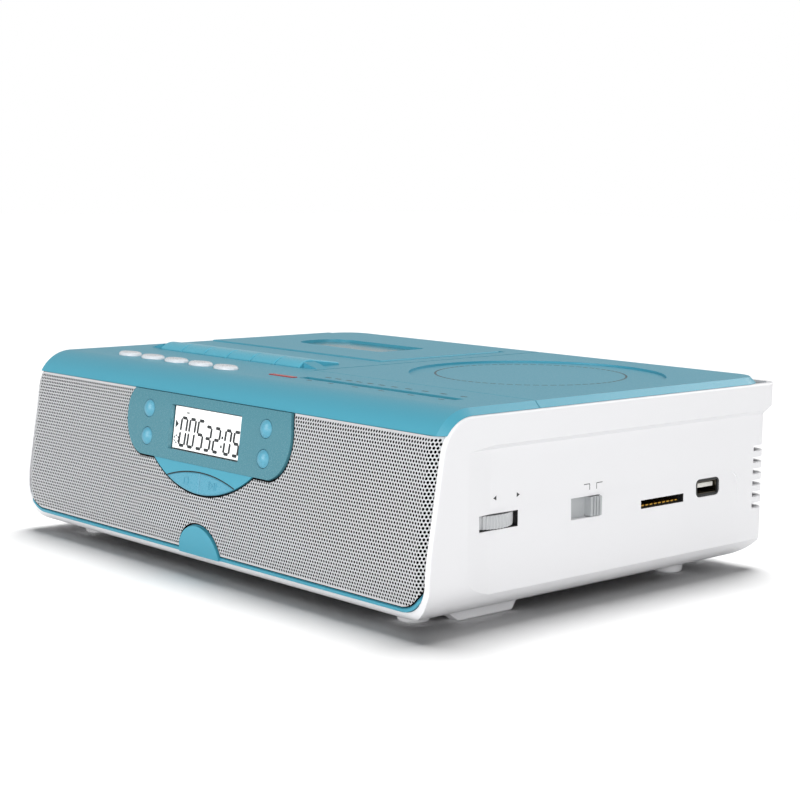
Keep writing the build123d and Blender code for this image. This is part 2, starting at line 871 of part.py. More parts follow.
def top_cover():
    cover = deck_shell() - lid_region(-lid_gap)
    door_x = (door_left - lid_gap, door_right + lid_gap)
    cover -= block(door_x, (door_front - lid_gap, door_back + door_back_gap), (0, far))
    cover -= block((key_well_left, key_well_right), (key_well_front, key_well_back), (0, far))
    for x in oval_places():
        cover -= oval(x, 0, far, gap / 2)
    slot_y = (dial_y - dial_slot_width / 2, dial_y + dial_slot_width / 2)
    cover -= block((dial_left, dial_right), slot_y, (deck_under - 1, far))
    lamp_span = (lamp_left - seam, lamp_left + lamp_length + seam)
    lamp_reach = lamp_half_width + seam
    cover -= block(lamp_span, (lamp_y - lamp_reach, lamp_y + lamp_reach), (0, far))
    ledge_x = (dial_left - 0.8, dial_right + 0.8)
    for low, high in ((slot_y[0] - 1.5, slot_y[0] + 0.5), (slot_y[1] - 0.5, slot_y[1] + 1.5)):
        cover += block(ledge_x, (low, high), (deck_under - 0.8, deck_under + 0.3))
    cover += block((dial_left - 3, dial_right + 3), rail_y, (rail_bottom, deck_under))
    for x, y in deck_posts:
        cover += post(x, y, (deck_plate_top, deck_under + 0.5), deck_post_radius)
    for x, y in key_board_posts:
        cover += post(x, y, (key_board_top, deck_under + 0.5), deck_post_radius)
    for side in (-1, 1):
        cover += key_gusset(side)
    for ear in door_ears():
        cover += ear
    return cover


def dial_window():
    """Clear strip that closes the dial slot a little below the deck."""
    x = (dial_left + press_gap, dial_right - press_gap)
    half = dial_slot_width / 2 - press_gap
    return block(x, (dial_y - half, dial_y + half), dial_window_z)


def power_lamp():
    """Light guide that fills a narrow slot in the deck."""
    x = (lamp_left, lamp_left + lamp_length)
    lens_y = (lamp_y - lamp_half_width, lamp_y + lamp_half_width)
    lens = block(x, lens_y, (deck_under - 1, deck_z + 0.3))
    flange_z = (lamp_flange_bottom, deck_under - seam)
    return lens + block(x, (lamp_y - 2.2, lamp_y + 2.2), flange_z)


def dial_pointer():
    """Needle on a shoe that straddles the rail under the dial."""
    needle_x = (-0.6, 0.6)
    needle = block(needle_x, (dial_y - 1.8, dial_y + 1.8), (deck_under - 2.6, deck_under - 1.2))
    shoe_x = (-4.0, 4.0)
    shoe = block(shoe_x, (rail_y[0] - 1.4, rail_y[1] + 1.4), (rail_bottom - 1.4, deck_under - 1.2))
    shoe -= block((-far, far), (rail_y[0] - 0.15, rail_y[1] + 0.15), (rail_bottom - 0.15, far))
    link = block(needle_x, (dial_y + 1.0, rail_y[0] - 0.6), (deck_under - 2.6, deck_under - 1.2))
    return needle + shoe + link


def oval_key(x):
    """White oval key: a domed cap on a flanged stem."""
    cap = oval(x, deck_under - 2.6, deck_z + oval_proud)
    cap = fillet(cap.faces().sort_by(Axis.Z)[-1].edges(), oval_proud * 0.9)
    return cap + oval(x, key_stem_bottom, deck_under - 0.3, 0.9)


# Piano keys on their shaft
piano_width = piano_pitch - piano_gap
key_boss_radius = 3.2


def piano_key(i):
    """Lever with a curved front, a sloping top and an arm to the shaft behind it."""
    left = piano_left + i * piano_pitch + piano_gap / 2
    low = deck_under - 2.5
    section = make_face(
        [
            Line((piano_front_y, low), (piano_front_y, deck_z + 0.2)),
            Spline(
                (piano_front_y, deck_z + 0.2),
                (piano_front_y + 2.4, piano_top_z - 0.9),
                (piano_front_y + 7.0, piano_top_z),
            ),
            Line((piano_front_y + 7.0, piano_top_z), (piano_back_y, deck_z + 1.0)),
            Line((piano_back_y, deck_z + 1.0), (piano_back_y, low)),
            Line((piano_back_y, low), (piano_front_y, low)),
        ]
    )
    cap = Pos(left, 0, 0) * extrude(Plane.YZ * section, piano_width)
    side_edges = cap.faces().filter_by(Axis.X).edges()
    cap = fillet(side_edges.filter_by(lambda edge: edge.center().Z > deck_z + 0.2), piano_edge)
    arm_x = (left + piano_width / 2 - 3, left + piano_width / 2 + 3)
    arm = block(arm_x, (piano_back_y - 3, piano_pivot_y), (piano_pivot_z - 1.6, low + 1))
    arm += block(arm_x, (piano_back_y - 3, piano_pivot_y - 3), (piano_pivot_z - 2.4, low + 0.5))
    boss = cross_pin(arm_x, piano_pivot_y, piano_pivot_z, key_boss_radius)
    bore_radius = key_shaft_radius + run_gap
    bore = cross_pin((left, left + piano_width), piano_pivot_y, piano_pivot_z, bore_radius)
    return cap + arm + boss - bore


# Board under the oval keys and the lamp
key_board_margins = (14.5, 3.0)
key_board_front = oval_y - 7.0
key_board_back = oval_y + 6.0
key_board_left = oval_first_x - key_board_margins[0]
key_board_right = lamp_left + lamp_length + key_board_margins[1]
oval_switch_top = key_stem_bottom - oval_travel - seam


def key_board():
    """Circuit board with one push switch under each oval key and a lead for the lamp."""
    plate_z = (key_board_top - board_thickness, key_board_top)
    board = block((key_board_left, key_board_right), (key_board_front, key_board_back), plate_z)
    for x in oval_places():
        board += block((x - 3, x + 3), (oval_y - 3, oval_y + 3), (key_board_top, oval_switch_top - 0.8))
        board += post(x, oval_y, (key_board_top, oval_switch_top), 1.7)
    lamp_middle = lamp_left + lamp_length / 2
    lead_z = (key_board_top, lamp_flange_bottom - seam)
    for x in (lamp_middle - 4, lamp_middle + 4):
        board += block((x - 1.5, x + 1.5), (lamp_y - 1.5, lamp_y + 1.5), lead_z)
    return board


# Loudspeakers behind the front panel
speaker_flange = 2.0
speaker_cone_depth = 10.0
speaker_magnet_radius = 15.0
speaker_magnet_depth = 9.0


def speaker(side):
    """Round loudspeaker: flange, basket, cone and magnet."""
    face = front_face * Pos(side * speaker_x, up_face(speaker_z), -speaker_seat_depth - seam)
    flange = Pos(0, 0, -speaker_flange / 2) * Cylinder(speaker_radius, speaker_flange)
    basket_place = Pos(0, 0, -speaker_flange - speaker_cone_depth / 2)
    basket = basket_place * Cone(speaker_magnet_radius, speaker_radius - 2, speaker_cone_depth)
    magnet_top = speaker_flange + speaker_cone_depth
    magnet = Pos(0, 0, -magnet_top - speaker_magnet_depth / 2)
    magnet = magnet * Cylinder(speaker_magnet_radius, speaker_magnet_depth)
    hollow = Pos(0, 0, -speaker_cone_depth / 2) * Cone(6, speaker_radius - 4, speaker_cone_depth)
    dome = Pos(0, 0, -speaker_cone_depth) * Cylinder(6, 3)
    return face * (flange + basket + magnet - hollow + dome)


# Tuning wheel, its capacitor and the band switch
wheel_x = half_width - 0.6 - wheel_radius
wheel_bottom = (wheel_window_bottom + wheel_window_top - wheel_thickness) / 2
wheel_edge = 0.5
tuner_shaft_radius = 1.5
tuner_bush_radius = 4.0
tuner_half = 9.0
tuner_height = 12.0
board_top = board_z + board_thickness
tongue_width = 28.0
tongue_margin = 12.5
tongue_left = board_right - tongue_width
tongue_front = wheel_y - tongue_margin
chip_size = (14.0, 20.0, 2.4)
chip_margins = (13.0, 28.0)
chip_place = (board_left + chip_margins[0], board_front + chip_margins[1])
can_radius = 4.0
can_height = 11.0
can_margin = 9.0
can_rows = (44.0, 54.0)
can_places = [(board_left + can_margin, board_front + row) for row in can_rows]
sink_size = (10.0, 16.0, 6.0)
sink_margins = (9.0, 28.0)
sink_place = (board_left + sink_margins[0], board_back - sink_margins[1])


def tuning_wheel():
    """Thumb wheel with its stub shaft."""
    wheel = post(wheel_x, wheel_y, (wheel_bottom, wheel_bottom + wheel_thickness), wheel_radius)
    wheel = chamfer(wheel.edges().filter_by(GeomType.CIRCLE), wheel_edge)
    shaft_bottom = board_z - tuner_height + 3
    return wheel + post(wheel_x, wheel_y, (shaft_bottom, wheel_bottom + 1), tuner_shaft_radius)


def tuning_capacitor():
    """Square capacitor under the board, its bush coming up through it."""
    box_x = (wheel_x - tuner_half, wheel_x + tuner_half)
    box_y = (wheel_y - tuner_half, wheel_y + tuner_half)
    body = block(box_x, box_y, (board_z - tuner_height, board_z))
    body += post(wheel_x, wheel_y, (board_z - 1, wheel_bottom - seam), tuner_bush_radius)
    bore_bottom = board_z - tuner_height + 2.5
    return body - post(wheel_x, wheel_y, (bore_bottom, far), tuner_shaft_radius + run_gap)


def main_board():
    """Radio and control board that carries the side sockets and the switch."""
    plate_z = (board_z, board_top)
    board = block((board_left, board_right), (board_front, board_back), plate_z)
    board += block((tongue_left, board_right), (tongue_front, board_front + 1), plate_z)
    board -= post(wheel_x, wheel_y, (board_z - 1, board_top + 1), tuner_bush_radius + gap)
    for x, y in can_places:
        board += post(x, y, (board_top, board_top + can_height), can_radius)
    for (x, y), size in ((chip_place, chip_size), (sink_place, sink_size)):
        board += Pos(x, y, board_top + size[2] / 2) * Box(*size)
    return board


knob_width = 6.0
knob_front = half_width - 0.9
knob_y = switch_y + switch_window_width / 2 - knob_width / 2 - 0.1
slider_back = inner_half_width - 0.2
slider_thickness = 1.4
switch_body_front = slider_back - slider_thickness - seam
switch_body_depth = 8.0
switch_body_top = 43.0
stem_half = 1.5
stem_bottom = 36.0
stem_top = 39.2
ridge_count = 4


def band_switch_knob():
    """Slider plate behind the window with a ridged knob that comes through it."""
    middle_y = switch_y + switch_travel / 2
    half = switch_window_width / 2 + switch_travel / 2 + 0.6
    plate_z = (switch_window_bottom - 0.8, switch_window_top + 0.8)
    plate_x = (slider_back - slider_thickness, slider_back)
    slider = block(plate_x, (middle_y - half, middle_y + half), plate_z)
    knob_z = (switch_window_bottom + 0.4, switch_window_top - 0.4)
    knob_span = (knob_y - knob_width / 2, knob_y + knob_width / 2)
    slider += block((slider_back - 0.5, knob_front), knob_span, knob_z)
    pitch = knob_width / ridge_count
    for i in range(ridge_count - 1):
        y = knob_span[0] + (i + 1) * pitch
        slider -= block((knob_front - 0.5, far), (y - 0.35, y + 0.35), knob_z)
    stem_x = (switch_body_front - switch_body_depth + 3, slider_back - 1)
    slider += block(stem_x, (knob_y - stem_half, knob_y + stem_half), (stem_bottom, stem_top))
    return slider


def band_switch_body():
    """Slide switch on the board with a slot for the knob's stem."""
    body_x = (switch_body_front - switch_body_depth, switch_body_front)
    body_y = (knob_y - switch_travel - stem_half - 2.5, knob_y + stem_half + 2.5)
    body = block(body_x, body_y, (board_top, switch_body_top))
    slot_y = (knob_y - switch_travel - stem_half - 0.3, knob_y + stem_half + 0.3)
    slot_x = (body_x[0] + 2, far)
    return body - block(slot_x, slot_y, (stem_bottom - 0.15, stem_top + 0.15))


# Side sockets
socket_back = inner_half_width - seam
usb_mouth_width = 12.6
usb_mouth_height = 5.2
usb_mouth_depth = 11.0
sd_mouth_width = 24.4
sd_mouth_height = 2.4
sd_body_depth = 22.0
usb_face_x = lower_half_width - pocket_depth


def usb_socket():
    """Socket on the board; its collar fills the hole in the wall."""
    middle_z = usb_bottom + usb_height / 2
    body_y = (usb_y - usb_width / 2, usb_y + usb_width / 2)
    body = block((socket_back - usb_depth, socket_back), body_y, (board_top, usb_bottom + usb_height))
    collar = Pos(socket_back - 1, 0, 0) * extrude(usb_outline(-press_gap), usb_face_x - socket_back + 1)
    body += collar
    mouth_y = (usb_y - usb_mouth_width / 2, usb_y + usb_mouth_width / 2)
    mouth_z = (middle_z - usb_mouth_height / 2, middle_z + usb_mouth_height / 2)
    return body - block((usb_face_x - usb_mouth_depth, far), mouth_y, mouth_z)


def sd_socket():
    """Card socket on the board behind its slot in the wall."""
    middle_z = sd_bottom + sd_height / 2
    half = sd_width / 2 + 1.5
    body_z = (board_top, sd_bottom + sd_height + 1)
    body = block((socket_back - sd_body_depth, socket_back), (sd_y - half, sd_y + half), body_z)
    mouth_y = (sd_y - sd_mouth_width / 2, sd_y + sd_mouth_width / 2)
    mouth_z = (middle_z - sd_mouth_height / 2, middle_z + sd_mouth_height / 2)
    return body - block((socket_back - sd_body_depth + 2, far), mouth_y, mouth_z)


# Mains parts
inlet_face_y = lower_rear - 0.8
inlet_flange_low = inlet_z - inlet_half_height - 1.7
inlet_drop = inner_bottom_z + rear_bottom_radius - inlet_flange_low
inlet_curve = rear_bottom_radius - math.sqrt(rear_bottom_radius**2 - inlet_drop**2)
inlet_flange_y = inner_rear - inlet_curve - gap
inlet_body_depth = 10.0
inlet_cavity_depth = 9.0
inlet_lobe_radius = 3.9
inlet_pin_radius = 1.2
inlet_pin_spacing = 8.6


def mains_inlet():
    """Two-pin inlet with a figure-eight mouth in the rear wall."""
    neck_half = inlet_half_width - press_gap
    neck_height = inlet_half_height - press_gap
    neck_z = (inlet_z - neck_height, inlet_z + neck_height)
    inlet = block((inlet_x - neck_half, inlet_x + neck_half), (inlet_flange_y - 1, inlet_face_y), neck_z)
    body_x = (inlet_x - neck_half - 1.8, inlet_x + neck_half + 1.8)
    body_z = (inlet_flange_low, neck_z[1] + 1.8)
    inlet += block(body_x, (inlet_flange_y - inlet_body_depth, inlet_flange_y), body_z)
    mouth = Rectangle(inlet_pin_spacing, 2 * inlet_lobe_radius)
    for side in (-1, 1):
        mouth += Pos(side * inlet_pin_spacing / 2, 0) * Circle(inlet_lobe_radius)
    rear_view = Plane(origin=(inlet_x, inlet_face_y, inlet_z), x_dir=(-1, 0, 0), z_dir=(0, 1, 0))
    inlet -= rear_view * Pos(0, 0, -inlet_cavity_depth) * extrude(mouth, far)
    for side in (-1, 1):
        pin = Pos(side * inlet_pin_spacing / 2, 0, -inlet_cavity_depth) * Circle(inlet_pin_radius)
        inlet += rear_view * extrude(pin, inlet_cavity_depth - 1.5)
    return inlet


transformer_from_rear = 35.6
transformer_x = inlet_x - 5.0
transformer_y = inner_rear - transformer_from_rear
core_width = 40.0
core_depth = 16.0
core_height = 33.0
winding_width = 25.0
winding_depth = 27.0
bracket_half = 28.0
bracket_thickness = 1.2


def power_transformer():
    """Laminated core on its bracket, with the winding round the middle limb."""
    base = cover_parting_z
    x = transformer_x
    y = transformer_y
    bracket_y = (y - core_depth / 2, y + core_depth / 2)
    unit = block((x - bracket_half, x + bracket_half), bracket_y, (base, base + bracket_thickness))
    core_x = (x - core_width / 2, x + core_width / 2)
    core_z = (base + bracket_thickness, base + bracket_thickness + core_height)
    unit += block(core_x, bracket_y, core_z)
    winding_x = (x - winding_width / 2, x + winding_width / 2)
    winding_y = (y - winding_depth / 2, y + winding_depth / 2)
    return unit + block(winding_x, winding_y, (core_z[0] + 4, core_z[1] - 4))


# Disc side: lid, well, chassis, motor, turntable and pickup
lid_lug_width = 6.0
lid_lug_margins = (10.0, 21.0)
lid_lug_left = lid_left + lid_lug_margins[0]
lid_lug_right = half_width - lid_lug_margins[1]
lid_lug_places = [(x, x + lid_lug_width) for x in (lid_lug_left, lid_lug_right)]
lid_lug_radius = 3.0
lid_pin_length = 3.4
lid_edge = 0.6
ear_gap = 0.5
ear_width = 3.0
ear_radius = 2.8
ring_depth = 0.9
ring_x = disc_x + 0.4
ring_y = disc_y + 1.5
well_plate_thickness = 1.8
well_wall = 1.5
ledge_z = band_inner_z + seam


def lid_pins():
    """Inward ends of the two lugs and the way each pin points."""
    return ((lid_lug_places[0][1], 1), (lid_lug_places[1][0], -1))


def cd_lid():
    """Teal lid with a round shallow recess, two lugs and their pins."""
    lid = deck_shell() & lid_region(lid_gap)
    top_edges = lid.faces().sort_by(Axis.Z)[-1].edges()
    front_edge = top_edges.filter_by(Axis.X).sort_by(Axis.Y)[0]
    left_edge = top_edges.filter_by(Axis.Y).sort_by(Axis.X)[0]
    lid = fillet([front_edge, left_edge], lid_edge)
    lid -= post(ring_x, ring_y, (deck_z - ring_depth, far), ring_radius)
    for x in lid_lug_places:
        lid += cross_pin(x, lid_pivot_y, lid_pivot_z, lid_lug_radius)
        lug_y = (lid_pivot_y - lid_lug_radius, lid_pivot_y + lid_lug_radius)
        lid += block(x, lug_y, (lid_pivot_z, deck_under + 0.5))
    for x, way in lid_pins():
        ends = sorted((x - way, x + way * lid_pin_length))
        lid += cross_pin(ends, lid_pivot_y, lid_pivot_z, lid_pin_radius)
    return lid


chassis_reach = 69.0
chassis_tail = 23.0
chassis_half_width = 30.5
chassis_post_x = 26.5
chassis_post_rows = (-53.0, 19.0)
chassis_front = disc_y - chassis_reach
chassis_back = disc_y + chassis_tail
chassis_left = disc_x - chassis_half_width
chassis_right = disc_x + chassis_half_width
chassis_thickness = 1.5
chassis_posts = [(disc_x + s * chassis_post_x, disc_y + y) for s in (-1, 1) for y in chassis_post_rows]
rod_x = 19.0
rod_z = 61.5
rod_radius = 1.5
rod_front = chassis_front + 0.5
rod_from_disc = 11.0
rod_back = disc_y - rod_from_disc
disc_shaft_radius = 1.2
motor_radius = 12.0
motor_height = 16.5
pickup_window_half = 13.0
pickup_half_x = 14.0
pickup_half_y = 9.0


def cd_well():
    """Round well for the disc with a flat surround, posts and hinge ears."""
    outer_radius = well_radius + well_wall
    plate_x = (well_left, well_right)
    plate_y = (well_front, well_back)
    well = block(plate_x, plate_y, (well_top_z - well_plate_thickness, well_top_z))
    drum = post(disc_x, disc_y, (well_bottom_z, well_top_z), outer_radius)
    drum &= block(plate_x, plate_y, (0, far))
    drum -= block((inner_half_width - seam, far), (-far, far), (0, ledge_z))
    well += drum
    well -= post(disc_x, disc_y, (well_floor_z, far), well_radius)
    well -= post(disc_x, disc_y, (0, far), disc_shaft_radius + 6)
    window_y = (disc_y - well_radius + 0.2, disc_y - pickup_inner + 5)
    window_x = (disc_x - pickup_window_half, disc_x + pickup_window_half)
    well -= block(window_x, window_y, (0, well_floor_z + 1))
    for x, y in chassis_posts:
        well += post(x, y, (drive_plate_z, well_bottom_z + 0.5), 3)
    for x, way in lid_pins():
        ear_x = sorted((x + way * ear_gap, x + way * (ear_gap + ear_width)))
        ear = cross_pin(ear_x, lid_pivot_y, lid_pivot_z, ear_radius)
        ear_z = (lid_pivot_z - ear_radius, well_top_z)
        ear += block(ear_x, (well_back - 5, lid_pivot_y), ear_z)
        bore = cross_pin(ear_x, lid_pivot_y, lid_pivot_z, lid_pin_radius + run_gap)
        well += ear - bore
    return well


def cd_chassis():
    """Pressed plate hung under the well, with ears for the guide rods."""
    plate_z = (drive_plate_z - chassis_thickness, drive_plate_z)
    chassis = block((chassis_left, chassis_right), (chassis_front, chassis_back), plate_z)
    for side in (-1, 1):
        x = disc_x + side * rod_x
        for y in (rod_front, rod_back):
            ear = block((x - 3, x + 3), (y - 0.5, y + 1), (drive_plate_z - 0.5, rod_z + 3))
            chassis += ear
        hole = Pos(x, (rod_front + rod_back) / 2, rod_z) * Rot(90, 0, 0)
        chassis -= hole * Cylinder(rod_radius + run_gap, far)
    chassis -= post(disc_x, disc_y, (0, far), disc_shaft_radius + 2)
    return chassis


def guide_rods():
    rods = []
    for side in (-1, 1):
        turned = Rot(90, 0, 0) * Cylinder(rod_radius, rod_back - rod_front + 1)
        rods.append(Pos(disc_x + side * rod_x, (rod_front + rod_back + 0.5) / 2, rod_z) * turned)
    return rods


def disc_motor():
    """Flat motor under the chassis that carries the turntable on its shaft."""
    top = drive_plate_z - chassis_thickness
    motor = post(disc_x, disc_y, (top - motor_height, top), motor_radius)
    return motor - post(disc_x, disc_y, (top - motor_height + 4, far), disc_shaft_radius + run_gap)


platter_radius = 15.0
hub_radius = 7.3
hub_height = 2.6


def turntable():
    """Turntable with the disc's centring hub, its three catches and its shaft."""
    platter_bottom = well_floor_z + 0.6
    platter_top = platter_bottom + 2.0
    table = post(disc_x, disc_y, (platter_bottom, platter_top), platter_radius)
    hub = post(disc_x, disc_y, (platter_top - 0.5, platter_top + hub_height), hub_radius)
    table += chamfer(hub.faces().sort_by(Axis.Z)[-1].edges(), 0.9)
    for i in range(3):
        catch = Rot(0, 0, 120 * i) * Pos(hub_radius - 0.6, 0, 0) * Sphere(1.1)
        table += Pos(disc_x, disc_y, platter_top + 1.4) * catch
    shaft_bottom = drive_plate_z - chassis_thickness - motor_height + 4.5
    return table + post(disc_x, disc_y, (shaft_bottom, platter_bottom + 0.5), disc_shaft_radius)


def optical_pickup():
    """Laser sled on its two rods, at the inner end of its run."""
    y = disc_y - pickup_inner
    sled_z = (rod_z - 2.0, well_bottom_z - 0.4)
    body_x = (disc_x - pickup_half_x, disc_x + pickup_half_x)
    sled = block(body_x, (y - pickup_half_y, y + pickup_half_y), sled_z)
    sled_x = (disc_x - rod_x - 3, disc_x + rod_x + 3)
    sled += block(sled_x, (y - 5, y + 5), (rod_z - 2.6, rod_z + 2.8))
    for side in (-1, 1):
        bore = Pos(disc_x + side * rod_x, y, rod_z) * Rot(90, 0, 0)
        sled -= bore * Cylinder(rod_radius + run_gap, far)
    sled += block((disc_x - 5, disc_x + 5), (y - 5, y + 5), (sled_z[1] - 1, well_floor_z - 0.5))
    return sled + post(disc_x, y, (well_floor_z - 1, well_floor_z + 0.8), 3.2)


# Cassette side: door, window, chassis and mechanism
door_bevel = 2.8
door_edge = 0.8
door_top = deck_z + door_proud
rail_inner = cassette_width / 2 + gap
rail_thickness = 1.6
rail_low = 64.0
flange_thickness = 1.1
flange_reach = 2.5
window_ledge = 1.2
window_z = (77.4, 78.2)
window_left_radius = 12.0
window_right_radius = 3.0


def window_sketch(grow):
    """Plan of the cassette window, more rounded at its left end."""
    x = (cassette_x - window_half_width - grow, cassette_x + window_half_width + grow)
    y = (window_front - grow, window_back + grow)
    points = [(x[0], y[0]), (x[1], y[0]), (x[1], y[1]), (x[0], y[1])]
    left = window_left_radius + grow
    right = window_right_radius + grow
    return outline(points, [left, right, right, left])


def at_height(sketch, z):
    """Upright prism on a plan outline between two heights."""
    return Pos(0, 0, z[0]) * extrude(sketch, z[1] - z[0])


def cassette_door():
    """Teal door with a holder for the cassette and two arms with pins."""
    door = block((door_left, door_right), (door_front, door_back), (door_under, door_top))
    rear_edge = door.edges().filter_by(Axis.X).sort_by(lambda e: e.center().Y + e.center().Z)[-1]
    door = chamfer(rear_edge, door_bevel)
    side_edges = door.faces().sort_by(Axis.Z)[-1].edges().sort_by(Axis.Y)[:-1]
    door = fillet(side_edges, door_edge)
    door -= at_height(window_sketch(-window_ledge), (0, far))
    door -= at_height(window_sketch(0), (window_z[0] - seam, far))
    rail_y = (cassette_front + 1, cassette_front + cassette_depth - 0.8)
    bar_y = (cassette_front + cassette_depth + 0.5, cassette_front + cassette_depth + 2.2)
    for side in (-1, 1):
        rail_x = sorted(cassette_x + side * d for d in (rail_inner, rail_inner + rail_thickness))
        door += block(rail_x, (rail_y[0], bar_y[1]), (rail_low - flange_thickness, door_under + 0.5))
        lip_x = sorted(cassette_x + side * d for d in (rail_inner - flange_reach, rail_inner + 0.5))
        door += block(lip_x, rail_y, (rail_low - flange_thickness, rail_low))
        arm_x = sorted(door_middle + side * d for d in (door_arm_inner, door_arm_outer))
        door += cross_pin(arm_x, door_pivot_y, door_pivot_z, 3.0)
        door += block(arm_x, (bar_y[0] - 3, door_pivot_y), (door_pivot_z - 3.0, door_under + 0.5))
        pin_x = sorted(door_middle + side * d for d in (door_arm_outer - 1, door_ear_outer - 0.3))
        door += cross_pin(pin_x, door_pivot_y, door_pivot_z, door_pin_radius)
    bar_x = (cassette_x - rail_inner - 0.5, cassette_x + rail_inner + 0.5)
    return door + block(bar_x, bar_y, (rail_low, door_under + 0.5))


def cassette_window():
    return at_height(window_sketch(-press_gap), window_z)


spindle_places = [(cassette_x + s * reel_spacing / 2, cassette_front + reel_from_front) for s in (-1, 1)]
spindle_radius = 1.5
capstan_radius = 1.0
spindle_top = 73.0
deck_left = -inner_half_width + 3.0
deck_right = lid_left - 1.6
deck_front = piano_pivot_y - 4.0
deck_back = deck_rear - 7.0
shaft_ears = [(x, x + 2.0) for x in (key_well_left - 5.6, key_well_right + 1.4)]
bracket_reach = 24.0
bracket_x = (capstan_x + bracket_reach, capstan_x + bracket_reach + 2.0)
flywheel_radius = 22.0
flywheel_z = (30.0, 37.0)
bracket_z = (27.0, 28.6)
deck_motor_offset = 33.0
deck_motor_x = cassette_x - deck_motor_offset
deck_motor_y = capstan_y + 7.0
deck_motor_radius = 13.0
deck_motor_bottom = 36.0
pulley_radius = 4.0
pulley_z = (30.5, 35.5)
motor_shaft_radius = 1.0
belt_z = (32.0, 34.0)
belt_gap = 0.3
belt_thickness = 1.0


def deck_chassis():
    """Steel deck plate with ears for the key shaft and the flywheel's lower bearing."""
    plate_z = (deck_plate_z, deck_plate_top)
    chassis = block((deck_left, deck_right), (deck_front, deck_back), plate_z)
    ear_y = (piano_pivot_y - 3, piano_pivot_y + 3)
    for ear_x in shaft_ears:
        ear = block(ear_x, ear_y, (deck_plate_z, piano_pivot_z + 2.8))
        chassis += ear - cross_pin(ear_x, piano_pivot_y, piano_pivot_z, key_shaft_radius + run_gap)
    strut_y = (capstan_y - 6, capstan_y + 6)
    chassis += block(bracket_x, strut_y, (bracket_z[0], deck_plate_top))
    chassis += block((capstan_x - 4, bracket_x[1]), strut_y, bracket_z)
    chassis -= post(capstan_x, capstan_y, (bracket_z[0] + 0.6, far), capstan_radius + run_gap)
    for x, y in spindle_places:
        chassis -= post(x, y, (0, far), spindle_radius + run_gap)
    chassis -= post(deck_motor_x, deck_motor_y, (0, far), 3)
    return chassis


def key_shaft():
    """Steel rod that the six cassette keys turn on."""
    ends = (shaft_ears[0][0] - 0.5, shaft_ears[1][1] + 0.5)
    return cross_pin(ends, piano_pivot_y, piano_pivot_z, key_shaft_radius)


def reel_spindle(place):
    """Spindle with a flange and three drive fins for the cassette's reel."""
    x, y = place
    flange_bottom = deck_plate_top + 0.3
    fin_top = spindle_top - 2
    spindle = post(x, y, (deck_plate_z - 4, flange_bottom + 1), spindle_radius)
    spindle += post(x, y, (flange_bottom, flange_bottom + 1.2), 9)
    hub = post(x, y, (flange_bottom + 1, spindle_top), 3.2)
    spindle += chamfer(hub.faces().sort_by(Axis.Z)[-1].edges(), 1.6)
    for i in range(3):
        fin = Pos(3.6, 0, (flange_bottom + fin_top) / 2) * Box(2.4, 1.0, fin_top - flange_bottom)
        spindle += Pos(x, y, 0) * Rot(0, 0, 120 * i) * fin
    return spindle + post(x, y, (deck_plate_z - 4, deck_plate_z - 2.5), 2.6)


def flywheel():
    """Flywheel with the capstan as its upper shaft."""
    wheel = post(capstan_x, capstan_y, flywheel_z, flywheel_radius)
    groove = post(capstan_x, capstan_y, (flywheel_z[0] + 2, flywheel_z[1]), flywheel_radius - 4)
    wheel -= groove - post(capstan_x, capstan_y, flywheel_z, 5)
    return wheel + post(capstan_x, capstan_y, (bracket_z[0] + 0.7, spindle_top), capstan_radius)


def deck_motor():
    motor = post(deck_motor_x, deck_motor_y, (deck_motor_bottom, deck_plate_z), deck_motor_radius)
    motor += post(deck_motor_x, deck_motor_y, (deck_plate_z - 1, deck_plate_z + 0.6), 2.9)
    bore_z = (deck_motor_bottom - 1, deck_motor_bottom + 12.5)
    return motor - post(deck_motor_x, deck_motor_y, bore_z, motor_shaft_radius + run_gap)


def motor_pulley():
    """Small pulley on the motor's shaft."""
    pulley = post(deck_motor_x, deck_motor_y, pulley_z, pulley_radius)
    shaft_z = (pulley_z[0], deck_motor_bottom + 12)
    return pulley + post(deck_motor_x, deck_motor_y, shaft_z, motor_shaft_radius)


def belt_loop(extra):
    """Outline of a belt round the pulley and the flywheel."""
    pulley = Pos(deck_motor_x, deck_motor_y) * Circle(pulley_radius + belt_gap + extra)
    wheel = Pos(capstan_x, capstan_y) * Circle(flywheel_radius + belt_gap + extra)
    return make_hull((pulley + wheel).edges())


def drive_belt():
    return at_height(belt_loop(belt_thickness) - belt_loop(0), belt_z)


head_plate_margins = (25.0, 14.0)
head_plate_depth = 16.0
head_plate_back = capstan_y - 13.0
head_plate_x = (cassette_x - head_plate_margins[0], capstan_x + head_plate_margins[1])
head_plate_y = (head_plate_back - head_plate_depth, head_plate_back)
head_plate_thickness = 1.2
roller_radius = 6.0
roller_pin_radius = 1.0
roller_y = capstan_y - capstan_radius - roller_radius - seam - head_travel
head_half = 6.0
head_depth = 9.0


def head_plate():
    """Sliding plate with the sound head, the erase head and the roller's arm."""
    bottom = deck_plate_top + seam
    top = bottom + head_plate_thickness
    plate = block(head_plate_x, head_plate_y, (bottom, top))
    head_y = (head_plate_y[1] - head_depth, head_plate_y[1])
    plate += block((cassette_x - head_half, cassette_x + head_half), head_y, (bottom, spindle_top))
    erase_x = cassette_x - 22
    plate += block((erase_x - 4, erase_x + 4), head_y, (bottom, spindle_top - 1))
    arm_x = (capstan_x - 4, capstan_x + 4)
    plate += block(arm_x, (head_plate_y[1] - 1, roller_y + 4), (bottom, top))
    return plate + post(capstan_x, roller_y, (bottom, spindle_top - 0.5), roller_pin_radius)


def pinch_roller():
    """Rubber roller that presses the tape on the capstan."""
    roller_z = (deck_plate_top + 2.0, spindle_top - 1.0)
    roller = post(capstan_x, roller_y, roller_z, roller_radius)
    return roller - post(capstan_x, roller_y, (0, far), roller_pin_radius + run_gap)


